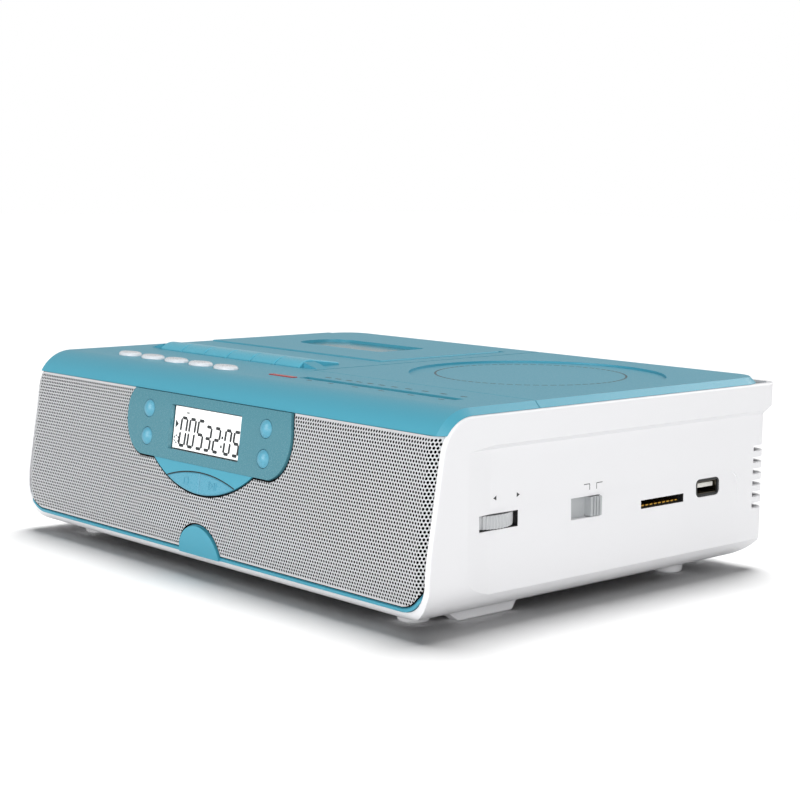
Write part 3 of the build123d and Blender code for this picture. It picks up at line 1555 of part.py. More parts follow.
# All sub-parts
sub_parts = {
    "lower_case": lower_case(),
    "bottom_cover": bottom_cover(),
    "case_screws": case_screws(),
    "top_cover": top_cover(),
    "front_panel": front_panel(),
    "speaker_grille": speaker_grille(),
    "display_bezel": display_bezel(),
    "lcd_panel": lcd_panel(),
    "control_board": control_board(),
    "key_board": key_board(),
    "speaker_left": speaker(-1),
    "speaker_right": speaker(1),
    "power_lamp": power_lamp(),
    "dial_window": dial_window(),
    "dial_pointer": Pos((dial_left + dial_right) / 2, 0, 0) * dial_pointer(),
    "tuning_wheel": tuning_wheel(),
    "tuning_capacitor": tuning_capacitor(),
    "main_board": main_board(),
    "band_switch_knob": band_switch_knob(),
    "band_switch_body": band_switch_body(),
    "usb_socket": usb_socket(),
    "sd_socket": sd_socket(),
    "mains_inlet": mains_inlet(),
    "power_transformer": power_transformer(),
    "cd_lid": cd_lid(),
    "cd_well": cd_well(),
    "cd_chassis": cd_chassis(),
    "guide_rods": guide_rods(),
    "disc_motor": disc_motor(),
    "turntable": turntable(),
    "optical_pickup": optical_pickup(),
    "cassette_door": cassette_door(),
    "cassette_window": cassette_window(),
    "deck_chassis": deck_chassis(),
    "key_shaft": key_shaft(),
    "supply_spindle": reel_spindle(spindle_places[0]),
    "takeup_spindle": reel_spindle(spindle_places[1]),
    "flywheel": flywheel(),
    "deck_motor": deck_motor(),
    "motor_pulley": motor_pulley(),
    "drive_belt": drive_belt(),
    "head_plate": head_plate(),
    "pinch_roller": pinch_roller(),
    "front_stop_key": lens_key(-1),
    "front_play_key": lens_key(1),
}
for i, x in enumerate(oval_places()):
    sub_parts[f"oval_key_{i + 1}"] = oval_key(x)
for i, place in enumerate(round_key_places()):
    sub_parts[f"round_key_{i + 1}"] = round_key(*place)
for i, name in enumerate(piano_names):
    sub_parts[name] = piano_key(i)

for name, solid in sub_parts.items():
    group = Compound(solid) if isinstance(solid, list) else solid
    export_step(group, f"parts/{name}.step")
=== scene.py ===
import bmesh
import bpy
import math
from mathutils import Matrix, Vector
from mathutils.geometry import convex_hull_2d, intersect_point_line


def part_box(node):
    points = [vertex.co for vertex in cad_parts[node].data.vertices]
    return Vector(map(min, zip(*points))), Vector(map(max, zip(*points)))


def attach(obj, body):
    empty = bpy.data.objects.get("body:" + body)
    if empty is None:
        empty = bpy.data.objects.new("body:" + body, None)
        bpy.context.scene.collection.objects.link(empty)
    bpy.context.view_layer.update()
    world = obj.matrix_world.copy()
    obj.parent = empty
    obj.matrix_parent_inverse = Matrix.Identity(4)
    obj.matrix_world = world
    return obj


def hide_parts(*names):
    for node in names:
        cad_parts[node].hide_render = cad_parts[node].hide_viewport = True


# CD boombox with a cassette deck and a radio.
# The frame is in metres; shapes are drawn in millimetres and scaled down at the end.

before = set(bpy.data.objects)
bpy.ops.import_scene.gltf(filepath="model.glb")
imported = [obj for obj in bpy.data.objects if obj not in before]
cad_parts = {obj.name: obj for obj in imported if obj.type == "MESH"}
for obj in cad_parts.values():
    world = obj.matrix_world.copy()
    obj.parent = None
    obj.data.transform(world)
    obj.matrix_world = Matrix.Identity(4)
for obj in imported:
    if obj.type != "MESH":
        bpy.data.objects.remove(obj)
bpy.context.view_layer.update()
MM = 0.001


# Studio
# The boombox stands on a broad sheet of white paper. Five soft boxes light it, and a lamp of its own
# lights the paper. The lens is a moderate telephoto off the front right corner, just above the deck.
lens_place = Vector((553.17, -493.46, 155.31)) * MM
lens_azimuth = math.radians(47.771)
lens_pitch = math.radians(7.078)
lens_roll = math.radians(0.681)
lens_pixels = 1754.95
frame_pixels = 800
film_width = 36.0
paper_half = 6.0
white = (1, 1, 1, 1)


def colour(code):
    """Linear colour, with full alpha, of an sRGB hex code."""
    channels = [int(code[i:i + 2], 16) / 255 for i in (1, 3, 5)]
    linear = [c / 12.92 if c <= 0.04045 else ((c + 0.055) / 1.055) ** 2.4 for c in channels]
    return (*linear, 1.0)


def set_inputs(tree, node, inputs):
    """Gives each named input of a node its value, or another node's socket."""
    for name, value in inputs.items():
        if isinstance(value, bpy.types.NodeSocket):
            tree.links.new(value, node.inputs[name])
        else:
            node.inputs[name].default_value = value


def add_node(tree, kind, inputs=None, **settings):
    """One node with its settings and its inputs."""
    node = tree.nodes.new(kind)
    for name, value in settings.items():
        setattr(node, name, value)
    set_inputs(tree, node, inputs or {})
    return node


def add_camera():
    """Camera at the lens's place, level but for its roll."""
    ahead = Vector((
        -math.sin(lens_azimuth) * math.cos(lens_pitch),
        math.cos(lens_azimuth) * math.cos(lens_pitch),
        -math.sin(lens_pitch),
    ))
    level = Vector((math.cos(lens_azimuth), math.sin(lens_azimuth), 0))
    upright = level.cross(ahead)
    right = level * math.cos(lens_roll) + upright * math.sin(lens_roll)
    up = upright * math.cos(lens_roll) - level * math.sin(lens_roll)
    camera = bpy.data.objects.new("camera", bpy.data.cameras.new("camera"))
    camera.data.sensor_width = film_width
    camera.data.lens = lens_pixels / frame_pixels * film_width
    camera.data.clip_start = 0.01
    turned = Matrix((right, up, -ahead)).transposed().to_4x4()
    camera.matrix_world = Matrix.Translation(lens_place) @ turned
    bpy.context.scene.collection.objects.link(camera)
    bpy.context.scene.camera = camera


def add_sky(strength, gloss_strength):
    """White to the eye and through clear parts, grey in gloss, and a dim light on the rest."""
    world = bpy.data.worlds.new("studio")
    world.use_nodes = True
    tree = world.node_tree
    ray = add_node(tree, "ShaderNodeLightPath").outputs
    seen = add_node(tree, "ShaderNodeMath", {0: ray["Is Camera Ray"], 1: ray["Is Transmission Ray"]},
                    operation="MAXIMUM")
    gloss = add_node(tree, "ShaderNodeMapRange", {
        "Value": ray["Is Glossy Ray"], "To Min": strength, "To Max": gloss_strength})
    level = add_node(tree, "ShaderNodeMath", {0: seen.outputs[0], 1: gloss.outputs[0]},
                     operation="MAXIMUM")
    set_inputs(tree, tree.nodes["Background"], {"Strength": level.outputs[0], "Color": white})
    bpy.context.scene.world = world


def add_floor():
    """Matt white paper, a touch whiter to the eye than in what it throws back."""
    bm = bmesh.new()
    bmesh.ops.create_grid(bm, x_segments=1, y_segments=1, size=paper_half)
    mesh = bpy.data.meshes.new("floor")
    bm.to_mesh(mesh)
    bm.free()
    floor = bpy.data.objects.new("floor", mesh)
    bpy.context.scene.collection.objects.link(floor)
    paper = bpy.data.materials.new("white paper")
    paper.use_nodes = True
    tree = paper.node_tree
    ray = add_node(tree, "ShaderNodeLightPath").outputs
    tone = add_node(tree, "ShaderNodeMix", {
        "Factor": ray["Is Camera Ray"], "A": colour("#E4E4E4"), "B": white}, data_type="RGBA")
    set_inputs(tree, tree.nodes["Principled BSDF"], {
        "Base Color": tone.outputs["Result"], "Roughness": 0.9, "Specular IOR Level": 0.0})
    mesh.materials.append(paper)
    return floor


def floor_group(name, floor, state):
    """Group for the lamps: the paper alone, or all but the paper."""
    group = bpy.data.collections.new(name)
    group.objects.link(floor)
    group.collection_objects[0].light_linking.link_state = state
    return group


def add_lamp(name, kind, power, place, aim, lit):
    """Lamp that looks from its place at a point and lights one group."""
    lamp = bpy.data.objects.new(name, bpy.data.lights.new(name, kind))
    lamp.data.energy = power
    place, aim = Vector(place), Vector(aim)
    facing = (aim - place).to_track_quat("-Z", "Y").to_matrix().to_4x4()
    lamp.matrix_world = Matrix.Translation(place) @ facing
    lamp.light_linking.receiver_collection = lit
    bpy.context.scene.collection.objects.link(lamp)
    return lamp.data


def add_soft_box(name, power, place, aim, size):
    """Oblong lamp, size wide and high, that lights all but the paper."""
    box = add_lamp(name, "AREA", power, place, aim, object_only)
    box.shape = "RECTANGLE"
    box.size, box.size_y = size


bpy.context.scene.view_settings.view_transform = "Standard"
add_camera()
add_sky(strength=0.05, gloss_strength=0.6)
floor = add_floor()
paper_only = floor_group("paper only", floor, "INCLUDE")
object_only = floor_group("all but the paper", floor, "EXCLUDE")
add_soft_box("front box", 21.0, (-0.35, -1.85, 0.85), (0.0, -0.1, 0.04), (1.2, 1.5))
add_soft_box("side box", 20.0, (1.75, -0.75, 0.80), (0.13, 0.0, 0.04), (1.1, 1.4))
add_soft_box("top box", 8.0, (-0.10, 0.45, 1.75), (0.0, 0.0, 0.08), (1.4, 1.4))
add_soft_box("back box", 16.0, (0.40, 1.70, 1.20), (0.0, 0.0, 0.08), (1.6, 0.8))
add_soft_box("low box", 4.5, (0.40, -1.30, 0.10), (0.07, -0.09, 0.005), (1.8, 0.16))
paper_light = add_lamp("paper light", "SUN", 3.6, (0, 0, 0), (0.20, -0.25, -1.0), paper_only)
paper_light.angle = math.radians(32)


# Finishes shared by many mouldings
# Injection-moulded ABS takes the fine spark-eroded grain of its steel tool.
# The eye gets a soft sheen that breaks up slightly, and a colour that is even but not dead.
tool_grain = 0.45
grain_span = (0.3, 0.7)
flow_size = 40.0
gloss_spread = 0.05
abs_ior = 1.53


def new_material(name):
    """Empty finish: its material, nodes and shader, and the place on the piece."""
    material = bpy.data.materials.new(name)
    material.use_nodes = True
    tree = material.node_tree
    place = add_node(tree, "ShaderNodeTexCoord").outputs["Object"]
    return material, tree, tree.nodes["Principled BSDF"], place


def mottle(tree, place, size, detail, dark, light):
    """Cloudy pattern of a size in millimetres, and the colour that it makes between two."""
    pattern = add_node(tree, "ShaderNodeTexNoise", {
        "Vector": place, "Scale": 1 / (size * MM), "Detail": detail}).outputs["Fac"]
    tone = add_node(tree, "ShaderNodeMix", {"Factor": pattern, "A": dark, "B": light}, data_type="RGBA")
    return pattern, tone.outputs["Result"]


def moulded_abs(name, code, roughness=0.42, depth=0.006, tone=0.05):
    """Moulded plastic: depth of its grain in millimetres, tone as a share of its colour."""
    material, tree, shader, place = new_material(name)
    base = colour(code)
    dark = tuple(c * (1 - tone) for c in base[:3]) + (1.0,)
    shade = mottle(tree, place, flow_size, 3.0, dark, base)[1]
    grain = add_node(tree, "ShaderNodeTexNoise", {
        "Vector": place, "Scale": 1 / (tool_grain * MM), "Detail": 1.0}).outputs["Fac"]
    gloss = add_node(tree, "ShaderNodeMapRange", {
        "Value": grain, "From Min": grain_span[0], "From Max": grain_span[1],
        "To Min": roughness - gloss_spread, "To Max": roughness + gloss_spread})
    bump = add_node(tree, "ShaderNodeBump", {"Height": grain, "Distance": depth * MM})
    set_inputs(tree, shader, {
        "Base Color": shade, "Roughness": gloss.outputs[0], "Normal": bump.outputs[0], "IOR": abs_ior})
    return material


def dress(material, *nodes):
    """Gives the pieces of the frame their finish."""
    for node in nodes:
        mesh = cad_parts[node].data
        mesh.materials.clear()
        mesh.materials.append(material)


def make_piece(name, bm, body, material, crease=35.0):
    """Object in the frame from a shape drawn in millimetres; edges sharper than the crease stay sharp."""
    bmesh.ops.recalc_face_normals(bm, faces=bm.faces)
    bmesh.ops.scale(bm, vec=(MM, MM, MM), verts=bm.verts)
    mesh = bpy.data.meshes.new(name)
    bm.to_mesh(mesh)
    bm.free()
    mesh.shade_smooth()
    mesh.set_sharp_from_angle(angle=math.radians(crease))
    mesh.materials.append(material)
    piece = bpy.data.objects.new(name, mesh)
    bpy.context.scene.collection.objects.link(piece)
    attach(piece, body)
    return piece


# Case: bottom cover with its feet, and the lower case
# Two white ABS mouldings screwed together from below; the same grain runs over both.
white_abs = moulded_abs("white ABS", "#F1F1F3", roughness=0.40, tone=0.02)
dress(white_abs, "bottom_cover", "lower_case")


# Case screws
# Four plated steel screws, sunk in the bottom cover. Rolled and plated steel keeps the fine streaks
# of its rolling, which the eye gets as a gloss drawn out one way.
rolling_scratch = 0.6
scratch_depth = 0.004
scratch_stretch = (0.04, 1.0, 1.0)
scratch_gloss = 0.12


def plated_steel(name, code, roughness=0.35):
    """Metal with the streaks of its rolling, along x."""
    material, tree, shader, place = new_material(name)
    long_way = add_node(tree, "ShaderNodeMapping", {"Vector": place, "Scale": scratch_stretch})
    streak = add_node(tree, "ShaderNodeTexNoise", {
        "Vector": long_way.outputs[0], "Scale": 1 / (rolling_scratch * MM), "Detail": 4.0}).outputs["Fac"]
    gloss = add_node(tree, "ShaderNodeMapRange", {
        "Value": streak, "To Min": roughness - scratch_gloss, "To Max": roughness + scratch_gloss})
    bump = add_node(tree, "ShaderNodeBump", {"Height": streak, "Distance": scratch_depth * MM})
    set_inputs(tree, shader, {
        "Base Color": colour(code), "Metallic": 1.0,
        "Roughness": gloss.outputs[0], "Normal": bump.outputs[0]})
    return material


bright_steel = plated_steel("bright steel", "#C9CACC", roughness=0.24)
zinc_steel = plated_steel("zinc-plated steel", "#B9BAB6", roughness=0.38)
dress(bright_steel, "case_screws")


# Main board, control board and key board
# Glass-epoxy boards under green solder mask, with tinned tracks showing through as paler lines.
track_pitch = 1.6
track_rows = 4
track_run = 0.9
track_share = 0.035
track_depth = 0.035


def circuit_board(name, code, track_code):
    """Board under its mask, with tracks a pitch apart that stand up a little."""
    material, tree, shader, place = new_material(name)
    tracks = add_node(tree, "ShaderNodeTexBrick", {
        "Vector": place, "Color1": colour(code), "Color2": colour(code), "Mortar": colour(track_code),
        "Scale": 1 / (track_rows * track_pitch * MM), "Row Height": 1 / track_rows,
        "Brick Width": track_run, "Mortar Size": track_share})
    bump = add_node(tree, "ShaderNodeBump", {
        "Height": tracks.outputs["Fac"], "Distance": track_depth * MM})
    set_inputs(tree, shader, {
        "Base Color": tracks.outputs["Color"], "Roughness": 0.32, "Normal": bump.outputs[0]})
    return material


solder_mask = circuit_board("solder-masked board", "#1F5B38", "#4E8A5E")
dress(solder_mask, "main_board", "control_board", "key_board")


# Mains inlet, transformer, tuning capacitor and band switch body
# Black and grey engineering plastics, and a stack of varnished laminations.
lamination = 0.5
lamination_step = 0.05
black_abs = moulded_abs("black ABS", "#1C1D1F", roughness=0.45, tone=0.2)
grey_plastic = moulded_abs("grey polystyrene", "#8E9094", roughness=0.5, tone=0.1)


def laminated_core():
    """Varnished electrical steel, whose laminations give the eye fine even bands."""
    material, tree, shader, place = new_material("laminated core")
    layers = add_node(tree, "ShaderNodeTexWave", {
        "Vector": place, "Scale": 1 / (2 * math.pi * lamination * MM)}, bands_direction="Y").outputs["Fac"]
    tone = add_node(tree, "ShaderNodeMix", {
        "Factor": layers, "A": colour("#33302D"), "B": colour("#6A6560")}, data_type="RGBA")
    bump = add_node(tree, "ShaderNodeBump", {"Height": layers, "Distance": lamination_step * MM})
    set_inputs(tree, shader, {
        "Base Color": tone.outputs["Result"], "Metallic": 0.6, "Roughness": 0.5,
        "Normal": bump.outputs[0]})
    return material


dress(black_abs, "mains_inlet")
dress(laminated_core(), "power_transformer")
dress(grey_plastic, "tuning_capacitor", "band_switch_body")


# Loudspeakers
# Cones pressed from black paper pulp in black baskets; the paper is fibrous and dull.
fibre_size = 0.8
fibre_depth = 0.05


def pressed_paper():
    """Pulp with fibres under a millimetre long, which break its black up and take its gloss."""
    material, tree, shader, place = new_material("pressed paper")
    fibre, tone = mottle(tree, place, fibre_size, 6.0, colour("#141415"), colour("#2C2C2E"))
    bump = add_node(tree, "ShaderNodeBump", {"Height": fibre, "Distance": fibre_depth * MM})
    set_inputs(tree, shader, {"Base Color": tone, "Roughness": 0.85, "Normal": bump.outputs[0]})
    return material


dress(pressed_paper(), "speaker_left", "speaker_right")


# Front panel with its strip, key surround and bump
# One teal ABS moulding that holds the loudspeakers and shows round the grille.
teal_abs = moulded_abs("teal ABS", "#469FB6", roughness=0.40, tone=0.03)
dress(teal_abs, "front_panel")


# Speaker cloth and grille
# A black dust cloth lies on the panel, and a punched steel sheet is clipped over it.
# The sheet is powder coated pale grey; its ends are bent back and its holes stand in staggered rows.
hole_pitch = 1.40
row_pitch = 1.30
hole_radius = 0.57
hole_overlap = 2.0
end_margin = 0.5
sheet_thickness = 0.15
sheet_flat_half = 126.0
sheet_bend = 3.2
sheet_half = sheet_flat_half + sheet_bend
sheet_return = 7.0
sheet_bottom = 10.8
sheet_top = 70.2
sheet_corner = 12.0
field_bottom = 10.3
edge_gap = 0.85
cut_reach = 2.0
cut_tolerance = 1e-5
corner_tolerance = 1e-3
peel_size = 0.9
peel_depth = 0.015
thread_pitch = 0.33
thread_depth = 0.05
cloth_gap = 0.2
cloth_top = sheet_top - 0.3
cloth_front = -0.30
cloth_back = -0.34

# The front leans back above its nose, tucks in below it, and rolls over into the deck.
lean = math.radians(7.15)
tuck = math.radians(10.0)
nose_corner_z = 20.0
nose_radius = 60.0
deck_z = 79.0
top_radius = 17.0

front_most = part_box("speaker_grille")[0].y / MM
lean_sum = math.sin(lean + tuck)
nose_centre_y = front_most + nose_radius
nose_centre_z = nose_corner_z - nose_radius * (math.cos(tuck) - math.cos(lean)) / lean_sum
nose_corner_y = nose_centre_y - nose_radius * (math.sin(lean) + math.sin(tuck)) / lean_sum
top_centre_z = deck_z - top_radius
top_rise = math.sin(lean) * (top_centre_z - nose_centre_z)
top_centre_y = nose_centre_y + (top_rise - nose_radius + top_radius) / math.cos(lean)


def front_point(z):
    """Place and outward direction, both (y, z), of the case's front at a height."""
    if z > top_centre_z + top_radius * math.sin(lean):
        centre, radius = (top_centre_y, top_centre_z), top_radius
    elif nose_centre_z - nose_radius * math.sin(tuck) < z < nose_centre_z + nose_radius * math.sin(lean):
        centre, radius = (nose_centre_y, nose_centre_z), nose_radius
    elif z < nose_centre_z:
        return nose_corner_y + (nose_corner_z - z) * math.tan(tuck), (-math.cos(tuck), -math.sin(tuck))
    else:
        return nose_corner_y + (z - nose_corner_z) * math.tan(lean), (-math.cos(lean), math.sin(lean))
    rise = (z - centre[1]) / radius
    run = math.sqrt(1 - rise * rise)
    return centre[0] - radius * run, (-run, rise)


def bend_front(bm):
    """Takes a sheet drawn flat, with its height as y and its depth as z, to the front of the case."""
    bend_length = sheet_bend * math.sqrt(2)
    for vert in bm.verts:
        along, height, out = vert.co
        side = math.copysign(1, along)
        past = abs(along) - sheet_flat_half
        y, (out_y, out_z) = front_point(height)
        if past <= 0:
            spot = Vector((along, y, height))
            outward = Vector((0, out_y, out_z))
        elif past <= bend_length:
            step = past / math.sqrt(2)
            spot = Vector((side * (sheet_flat_half + step), y + step, height))
            outward = Vector((side, out_y, out_z)).normalized()
        else:
            spot = Vector((side * sheet_half, y + sheet_bend + past - bend_length, height))
            outward = Vector((side, 0, 0))
        vert.co = spot + outward * out


def unbent(x):
    """How far along the flat sheet a place on its bent end lies."""
    past = abs(x) - sheet_flat_half
    return x if past <= 0 else math.copysign(sheet_flat_half + past * math.sqrt(2), x)


sheet_end = unbent(sheet_half)
sheet_reach = sheet_end + sheet_return


def up_front(z):
    """How far up the leaning front, from its lower corner, a height lies."""
    return (z - nose_corner_z) / math.cos(lean)


def on_plane(points):
    """Outline given on the leaning front, as heights in the upright view."""
    return [Vector((x, nose_corner_z + up * math.cos(lean))) for x, up in points]


def bezel_outline(grow):
    """Outline of the display bezel, read from the frame."""
    slope = Vector((0, math.sin(lean), math.cos(lean)))
    corner = Vector((0, nose_corner_y, nose_corner_z))
    flat = []
    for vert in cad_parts["display_bezel"].data.vertices:
        spot = vert.co / MM
        flat.append(Vector((spot.x, (spot - corner).dot(slope))))
    ring = [flat[i] for i in convex_hull_2d(flat)]
    half = max(p.x for p in ring)
    low, high = min(p.y for p in ring), max(p.y for p in ring)
    middle = (low + high) / 2
    wide = 1 + grow / half
    tall = 1 + 2 * grow / (high - low)
    least_step = 0.8
    kept = [ring[0]]
    for point in ring[1:]:
        if (point - kept[-1]).length > least_step:
            kept.append(point)
    return on_plane([(p.x * wide, middle + (p.y - middle) * tall) for p in kept])


bezel_bottom_z = 44.3
bezel_low = up_front(bezel_bottom_z)
lobe_half = 32.5
lobe_drop = 11.2
lobe_radius = (lobe_half ** 2 + lobe_drop ** 2) / (2 * lobe_drop)
bump_half = 13.0
bump_top = 10.8
bump_foot = 1.3


def even_turns(first, last, count):
    """Angles in even steps from the first to the last."""
    return [first + (last - first) * i / count for i in range(count + 1)]


def lobe_outline(grow):
    """Outline of the key surround: a segment of a circle under the bezel."""
    centre = bezel_low - lobe_drop + lobe_radius
    radius = lobe_radius + grow
    reach = math.asin(lobe_half / lobe_radius)
    turns = even_turns(-reach, reach, 28)
    return on_plane([(radius * math.sin(a), centre - radius * math.cos(a)) for a in turns])


def bump_outline(grow):
    """Outline of the half-round bump over the front strip."""
    foot = up_front(field_bottom) - bump_foot
    wide = bump_half + grow
    tall = bump_top + bump_foot + grow
    turns = even_turns(0, math.pi, 24)
    return on_plane([(wide * math.cos(a), foot + tall * math.sin(a)) for a in turns])


def openings(grow):
    """Outlines of what comes through the grille: the bezel, the key surround and the bump."""
    return [outline(grow) for outline in (bezel_outline, lobe_outline, bump_outline)]


def is_inside(point, outline):
    """True inside a convex outline that turns to the left."""
    for i in range(len(outline)):
        a, b = outline[i - 1], outline[i]
        if (b - a).cross(point - a) < 0:
            return False
    return True


def cut_along(bm, a, b):
    """Cuts the faces near one run of an outline."""
    run = b - a
    near = set()
    for face in bm.faces:
        centre = face.calc_center_median().xy
        nearest, share = intersect_point_line(centre, a, b)
        beside = -cut_reach < share * run.length < run.length + cut_reach
        if beside and (centre - nearest.xy).length < cut_reach:
            near.update([face, *face.edges, *face.verts])
    bmesh.ops.bisect_plane(bm, geom=list(near), plane_co=a.to_3d(), plane_no=run.orthogonal().to_3d(),
                           dist=cut_tolerance)


def turned_left(outline):
    """The outline in its anticlockwise order."""
    swept = sum(outline[i - 1].cross(outline[i]) for i in range(len(outline)))
    return outline if swept > 0 else outline[::-1]


def cut_out(bm, outline):
    """Cuts a flat sheet along an outline and takes away what lies inside it."""
    outline = turned_left(outline)
    for i in range(len(outline)):
        cut_along(bm, outline[i - 1], outline[i])
    inside = [face for face in bm.faces if is_inside(face.calc_center_median().xy, outline)]
    bmesh.ops.delete(bm, geom=inside, context="FACES")


def round_corner(bm, side, shrink):
    """Rounds a lower corner of the flat sheet, as the front view shows it, a little inside its field."""
    radius = sheet_corner - shrink
    centre_x = sheet_half - sheet_corner
    centre_z = field_bottom + sheet_corner
    arc = []
    for a in even_turns(0, math.pi / 2, 12):
        x = unbent(centre_x + radius * math.cos(a))
        arc.append(Vector((side * x, centre_z - radius * math.sin(a))))
    for a, b in zip(arc, arc[1:]):
        cut_along(bm, a, b)
    gone = []
    for face in bm.faces:
        spot = face.calc_center_median()
        past = min(abs(spot.x), sheet_end) - sheet_flat_half
        x = abs(spot.x) if past <= 0 else sheet_flat_half + past / math.sqrt(2)
        away = Vector((x - centre_x, centre_z - spot.y))
        in_corner = spot.x * side > 0 and away.x > 0 and away.y > 0
        if in_corner and away.length > radius - corner_tolerance:
            gone.append(face)
    bmesh.ops.delete(bm, geom=gone, context="FACES")


def flat_sheet(columns, rows, width, low, high):
    """Flat sheet in the upright view, height as y."""
    bm = bmesh.new()
    bmesh.ops.create_grid(bm, x_segments=columns, y_segments=rows, size=0.5)
    bmesh.ops.scale(bm, vec=(width, high - low, 1), verts=bm.verts)
    bmesh.ops.translate(bm, vec=(0, (low + high) / 2, 0), verts=bm.verts)
    return bm


def draw_out(bm, faces, way):
    """Draws faces out into a solid, with walls round every hole and edge; gives the far corners."""
    drawn = bmesh.ops.extrude_face_region(bm, geom=list(faces), use_keep_orig=True)
    far = [item for item in drawn["geom"] if isinstance(item, bmesh.types.BMVert)]
    bmesh.ops.translate(bm, vec=way, verts=far)
    return far


def fit_sheet(bm, gap, shrink, outer, inner):
    """Cuts a flat sheet to its field, gives it its thickness and bends it to the front."""
    for outline in openings(gap):
        cut_out(bm, outline)
    for side in (-1, 1):
        round_corner(bm, side, shrink)
    bmesh.ops.translate(bm, vec=(0, 0, inner), verts=bm.verts)
    draw_out(bm, bm.faces, (0, 0, outer - inner))
    bend_front(bm)


def punched_grille():
    """The sheet with its staggered holes, cut round the bezel, the key surround and the bump."""
    columns = 2 * math.ceil(sheet_reach / hole_pitch)
    rows = round((sheet_top - sheet_bottom) / row_pitch)
    bm = flat_sheet(columns, rows, columns * hole_pitch, sheet_bottom, sheet_top)
    step = (sheet_top - sheet_bottom) / rows
    for vert in bm.verts:
        row = round((vert.co.y - sheet_bottom) / step)
        vert.co.x += hole_pitch / 4 if row % 2 else -hole_pitch / 4
    bmesh.ops.triangulate(bm, faces=bm.faces, quad_method="SHORT_EDGE")
    hidden = [turned_left(outline) for outline in openings(-hole_overlap)]
    lattice = []
    for vert in bm.verts:
        if vert.is_boundary or abs(vert.co.x) > sheet_end - end_margin:
            continue
        if not any(is_inside(vert.co.xy, outline) for outline in hidden):
            lattice.append(vert)
    punched = bmesh.ops.bevel(bm, geom=lattice, offset=hole_radius, affect="VERTICES", segments=1,
                              profile=0.5, material=-1)
    bmesh.ops.delete(bm, geom=punched["faces"], context="FACES")
    fit_sheet(bm, edge_gap, sheet_bottom - field_bottom, 0.0, -sheet_thickness)
    return bm


def powder_coat():
    """Baked powder: a faint orange peel, a grain finer than a millimetre and a low gloss."""
    material, tree, shader, place = new_material("powder-coated steel")
    peel, tone = mottle(tree, place, peel_size, 2.0, colour("#C4C5C7"), colour("#D2D3D5"))
    bump = add_node(tree, "ShaderNodeBump", {"Height": peel, "Distance": peel_depth * MM})
    set_inputs(tree, shader, {"Base Color": tone, "Roughness": 0.45, "Normal": bump.outputs[0]})
    return material


def woven_cloth():
    """Thin black woven cloth, its threads a third of a millimetre apart."""
    material, tree, shader, place = new_material("black woven cloth")
    weave = add_node(tree, "ShaderNodeTexChecker", {
        "Vector": place, "Scale": 1 / (thread_pitch * MM),
        "Color1": colour("#050506"), "Color2": colour("#0C0C0D")})
    bump = add_node(tree, "ShaderNodeBump", {
        "Height": weave.outputs["Fac"], "Distance": thread_depth * MM})
    set_inputs(tree, shader, {
        "Base Color": weave.outputs["Color"], "Roughness": 0.95, "Specular IOR Level": 0.1,
        "Normal": bump.outputs[0]})
    return material


grille = make_piece("punched_grille", punched_grille(), "root", powder_coat(), crease=30)
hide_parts("speaker_grille")

cloth = flat_sheet(112, 24, 2 * sheet_reach, field_bottom, cloth_top)
fit_sheet(cloth, cloth_gap, 0.0, cloth_front, cloth_back)
make_piece("dust_cloth", cloth, "root", woven_cloth())


# Display: bezel, liquid crystal panel and its figures
# The bezel is a glossy dark teal moulding. The panel is white with a faint painted glow that brightens it,
# and its figures are dark segments under the front glass; a black band round its edge is painted shade.
bezel_abs = moulded_abs("glossy dark teal ABS", "#4E8896", roughness=0.25, depth=0.001, tone=0.04)
dress(bezel_abs, "display_bezel")

lcd_bottom_z = 48.6
lcd_top_z = 66.2
lcd_low = up_front(lcd_bottom_z)
lcd_high = up_front(lcd_top_z)
lcd_half = 23.1
lcd_depth = 1.0
lcd_cloud = 15.0
ink_grain = 0.3
print_and_shade_height = 0.03
segment_width = 1.25
segment_gap = 0.2
segment_point = 0.4
figure_slant = 0.09
figure_low = lcd_low + 1.9
figure_left = 4.5 - lcd_half
track_figures = dict(zip((0.0, 5.7, 11.4), "005"))
track_width, track_height = 3.7, 11.0
time_figures = dict(zip((16.8, 22.6, 29.7, 35.2), "3205"))
time_width, time_height = 3.5, 9.2
colon_left = 27.8
colon_heights = (2.5, 6.0)
colon_size = 1.1
play_left = 1.5 - lcd_half
play_low, play_high = figure_low + 6.7, figure_low + 9.7
play_bars = 5
play_pitch = 0.4
play_slope = 0.3
repeat_middle = Vector((2.6 - lcd_half, figure_low + 2.2))
repeat_radius = 1.5
repeat_width = 0.55
repeat_dashes = 6
repeat_start, repeat_end = math.radians(12), math.radians(52)
dots_left = figure_left + 3.6
dots_up = lcd_high - 2.6
dots_pitch = 0.9
dot_length = 0.5
dot_width = 0.9
# Black band round the glass: painted shade of the bezel's recess over the panel's edge.
edge_shade_width = 0.55
edge_shade_inset = 0.2
edge_shade_heights = (0.04, 0.045)
segments_of = {"0": "abcdef", "2": "abdeg", "3": "abcdg", "5": "acdfg"}


def lcd_glass():
    """White diffuser under polished glass: a faint green cast, a sharp gloss and a painted glow."""
    material, tree, shader, place = new_material("liquid crystal glass")
    tone = mottle(tree, place, lcd_cloud, 2.0, colour("#F2F5F3"), colour("#FBFCFB"))[1]
    # The emission is a painted glow that lifts the white panel; the panel is no lamp.
    set_inputs(tree, shader, {
        "Base Color": tone, "Roughness": 0.12, "Emission Color": white, "Emission Strength": 0.35})
    return material


def print_and_shade_ink(name, code):
    """Thin screen-printed ink with a slightly uneven gloss; also dark lines of painted shade."""
    material, tree, shader, place = new_material(name)
    film = add_node(tree, "ShaderNodeTexNoise", {"Vector": place, "Scale": 1 / (ink_grain * MM)})
    gloss = add_node(tree, "ShaderNodeMapRange", {
        "Value": film.outputs["Fac"], "To Min": 0.35, "To Max": 0.65})
    set_inputs(tree, shader, {"Base Color": colour(code), "Roughness": gloss.outputs[0]})
    return material


